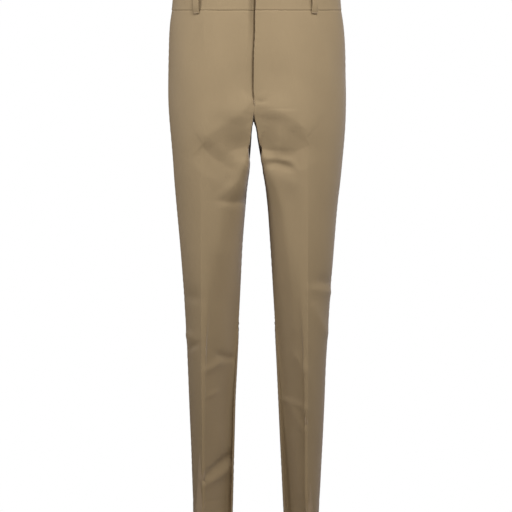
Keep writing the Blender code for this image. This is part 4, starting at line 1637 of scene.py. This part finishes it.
@dataclass
class Fly:
    """What lies behind the left front's lap: the shield, the zip with its teeth, and the hook with its bar.

    Sizes are in millimetres, apart from the flat one, which is in metres.

    Attributes:
        panels: The panels that it lies between.
        shield_right: How far the shield goes to the right of the fly's edge.
        shield_short: How far above the fly's end it stops.
        shield_rows: How many rows of points it has.
        shield_columns: How many columns.
        zip_short: How far above the fly's end the zip stops.
        chain_in: How far the chain's middle lies past the right front's edge.
        chain_top: The height of the chain's top, under the slider.
        chain_proud: How far the chain stands off its tape.
        tape_cloth: The tape's thickness.
        tooth: A tooth's width, height and depth.
        tooth_past: How far it reaches past the chain's middle.
        tooth_pitch: The teeth's pitch on one side.
        tooth_gap: How far a tooth stands off the chain.
        divisions: How finely the front's sections are divided.
        flat: The shield's cut width and length. Not used.
    """

    panels: Panels
    shield_right: float = 10.0
    shield_short: float = 26.0
    shield_rows: int = 60
    shield_columns: int = 26
    zip_short: float = 28.0
    chain_in: float = 5.0
    chain_top: float = -34.3
    chain_proud: float = 0.7
    tape_cloth: float = 0.9
    tooth: Point = (2.6, 0.6, 0.55)
    tooth_past: float = 0.9
    tooth_pitch: float = 1.5
    tooth_gap: float = 0.02
    divisions: int = 81
    flat: tuple[float, float] = (0.048, 0.160)

    def points(self, past: Array, levels: Array) -> Array:
        """Points of the smooth left front at distances past the fly's edge.

        Args:
            past: The distances.
            levels: The rows' levels.

        Returns:
            Rows by columns of points.
        """
        u = np.linspace(1, 2, self.divisions)
        levels = np.asarray(levels, float)[:, None]
        curves = self.panels.form.surface(Leg.LEFT, u[None, :], levels, Side.FRONT)
        x = along(CENTRE, "front", curves[:, -1, 2])[:, None] + past
        rows = [[np.interp(-at, -curve[:, 0], curve[:, k]) for k in (1, 2)] for at, curve in zip(x, curves)]
        return np.concatenate((x[..., None], np.moveaxis(np.array(rows), 1, -1)), axis=-1)

    def shield(self) -> Piece:
        """The shield: a flat piece behind the lap, stepped back by the right front's sink and thickness.

        Returns:
            The piece.
        """
        panels = self.panels
        lowest, highest = panels.fly_end_z + self.shield_short, panels.form.waist_z - GAP
        past = np.linspace(-self.shield_right, panels.facing_width, self.shield_columns)
        points = self.points(past, np.linspace(lowest, highest, self.shield_rows))
        back = points.copy()
        past, z = panels.past_edge(points), points[..., 2]
        depth = along(CENTRE, "sink", z) + panels.groove(past, z) + panels.cloth + GAP
        points[..., 1] += depth
        back[..., 1] += depth + panels.cloth
        materials = [panels.wardrobe.twill, panels.wardrobe.wrong]
        made = MeshMaker.shell("cloth_fly_shield", points, back, materials)
        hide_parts("fly_shield")
        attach(made, "root")
        return made

    def teeth(self, leg: Leg) -> Piece:
        """Half of the zip's teeth: a row of small blocks on its chain, each between two of the other half's.

        A block's corners are counted from its low, right and front one, so that its six faces point outwards.

        Args:
            leg: The half.

        Returns:
            The piece.
        """
        panels = self.panels
        width, height, depth = self.tooth
        middle = panels.underlap + GAP + self.chain_in
        first = panels.fly_end_z + self.zip_short + self.tooth_pitch * (1.0 if leg is Leg.LEFT else 0.5)
        low = np.arange(first, self.chain_top - height, self.tooth_pitch)
        past = np.sort(middle + leg.value * np.array((self.tooth_past, self.tooth_past - width)))
        levels = (low[:, None] + np.array((0.0, height))).ravel()
        grid = self.points(past, levels)
        face = along(CENTRE, "sink", grid[..., 2]) + panels.cloth - self.tape_cloth - self.chain_proud
        corners = np.repeat(grid[:, :, None], 2, axis=2)
        corners[..., 1] += face[..., None] - self.tooth_gap - np.array((depth, 0.0))
        block = np.array(((0, 1, 3, 2), (4, 6, 7, 5), (0, 2, 6, 4), (1, 5, 7, 3), (0, 4, 5, 1), (2, 3, 7, 6)))
        faces = (block[None] + 8 * np.arange(len(low))[:, None, None]).reshape(-1, 4)
        made = MeshMaker.make(f"zip_teeth_{leg.word}", corners.reshape(-1, 3), faces, [panels.wardrobe.steel])
        made.data.shade_flat()
        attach(made, "root")
        return made

    def metalwork(self) -> None:
        """Gives the zip's and the fastener's own solids their finishes."""
        for name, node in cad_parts.items():
            if name.startswith("zip_tape"):
                self.dress(node, self.panels.wardrobe.tape)
            elif name in ("zip_slider", "zip_pull", "hook", "hook_bar"):
                self.dress(node, self.panels.wardrobe.steel)

    @staticmethod
    def dress(node: Piece, material: bpy.types.Material) -> None:
        """Puts a material into all of a node's slots, or into a new one.

        Args:
            node: The node.
            material: The material.
        """
        if not node.material_slots:
            node.data.materials.append(material)
        for slot in node.material_slots:
            slot.material = material


@dataclass(frozen=True)
class Lamp:
    """A square area light.

    Attributes:
        name: Its name.
        place: Where it stands, in metres.
        aim: The point that it faces.
        size: Its side.
        power: Its power in watts.
        cone: The angle of its cone, in degrees. The light falls off towards the cone's edge.
    """

    name: str
    place: Point
    aim: Point
    size: float
    power: float
    cone: float

    def build(self) -> None:
        """Makes the light, turned so that it shines from its place towards its aim."""
        data = bpy.data.lights.new(self.name, "AREA")
        data.size, data.energy, data.spread = self.size, self.power, math.radians(self.cone)
        made = bpy.data.objects.new(self.name, data)
        made.location = self.place
        way = np.array(self.aim, float) - np.array(self.place, float)
        flat = math.hypot(way[0], way[1])
        made.rotation_euler = (math.atan2(flat, -way[2]), 0, math.atan2(-way[0], way[1]))
        bpy.context.scene.collection.objects.link(made)


@dataclass
class Studio:
    """The camera, the soft light and the pale floor.

    Attributes:
        eye: Where the camera stands, in metres.
        lens: Its focal length in millimetres.
        sensor: Its sensor's width.
        floor_z: The floor's height.
        floor_half: Half the floor's width.
        floor_ends: Where it starts and ends in depth.
        floor_colour: Its colour.
        floor_roughness: Its roughness.
        fill: How strong the even light from all sides is.
        fill_colour: That light's colour.
        white: The colour that the camera sees behind the trousers.
        lamps: The lights.
    """

    eye: Point = (-0.002, -4.0, -0.513)
    lens: float = 140.0
    sensor: float = 36.0
    floor_z: float = -1.2
    floor_half: float = 3.0
    floor_ends: tuple[float, float] = (-6.0, 1.2)
    floor_colour: Colour = (0.62, 0.57, 0.50, 1.0)
    floor_roughness: float = 0.8
    fill: float = 0.10
    fill_colour: Colour = (1.0, 0.86, 0.72, 1.0)
    white: Colour = (1.0, 1.0, 1.0, 1.0)
    lamps: tuple[Lamp, ...] = (
        Lamp("key", (0.4, -1.3, 1.1), (0, 0, -0.6), 0.8, 5.3, 74.0),
        Lamp("right_side", (-1.6, -1.0, 0.3), (0, 0, -0.16), 0.9, 3.6, 68.0),
        Lamp("left_side", (1.6, -1.0, 0.3), (0, 0, -0.16), 0.9, 1.9, 68.0),
        Lamp("back", (0.2, 2.2, 0.9), (0, 0, -0.3), 1.2, 5.0, 80.0),
    )

    def camera(self) -> None:
        """A camera that looks level along +Y, as the photograph's does."""
        data = bpy.data.cameras.new("camera")
        data.lens = self.lens
        data.sensor_width = self.sensor
        made = bpy.data.objects.new("camera", data)
        made.location = self.eye
        made.rotation_euler = (math.pi / 2, 0, 0)
        bpy.context.scene.collection.objects.link(made)
        bpy.context.scene.camera = made

    def world(self) -> None:
        """A world that is white to the eye and gives a weaker even fill to the cloth."""
        world = bpy.data.worlds.new("studio")
        bpy.context.scene.world = world
        world.use_nodes = True
        nodes = Nodes(world.node_tree)
        background = world.node_tree.nodes["Background"]
        seen = nodes.node("ShaderNodeLightPath").outputs["Is Camera Ray"]
        world.node_tree.links.new(nodes.ranged(seen, 0.0, 1.0, self.fill, 1.0), background.inputs["Strength"])
        world.node_tree.links.new(nodes.mix(seen, self.fill_colour, self.white), background.inputs["Color"])

    def floor(self) -> None:
        """A wide pale floor, below the camera's view."""
        half, (near, far) = self.floor_half, self.floor_ends
        corners = np.array(((-half, near, 0), (half, near, 0), (half, far, 0), (-half, far, 0)))
        corners[:, 2] = self.floor_z
        material = bpy.data.materials.new("floor")
        material.use_nodes = True
        shader = material.node_tree.nodes["Principled BSDF"]
        shader.inputs["Base Color"].default_value = self.floor_colour
        shader.inputs["Roughness"].default_value = self.floor_roughness
        MeshMaker.make("floor", corners / MM, np.array(((0, 1, 2, 3),)), [material])

    def build(self) -> None:
        """Sets up the whole studio."""
        self.camera()
        self.world()
        for lamp in self.lamps:
            lamp.build()
        self.floor()
        bpy.context.scene.view_settings.view_transform = "Standard"


def main() -> None:
    """Builds the studio, then every piece."""
    logging.basicConfig(level=logging.INFO, format="%(name)s: %(message)s")
    Studio().build()
    wardrobe, form = Wardrobe(), Form()
    panels = Panels(form, wardrobe)
    pieces = panels.build_all()
    band = Waistband(panels)
    pieces += [band.build(leg) for leg in Leg]
    pieces += BeltLoops(form, wardrobe).build_all()
    fly = Fly(panels)
    pieces += [fly.shield(), *(fly.teeth(leg) for leg in Leg)]
    fly.metalwork()
    for piece in pieces:
        LOG.info("%s: %d faces", piece.name, len(piece.data.polygons))
    bpy.context.view_layer.update()


if __name__ == "__main__":
    main()
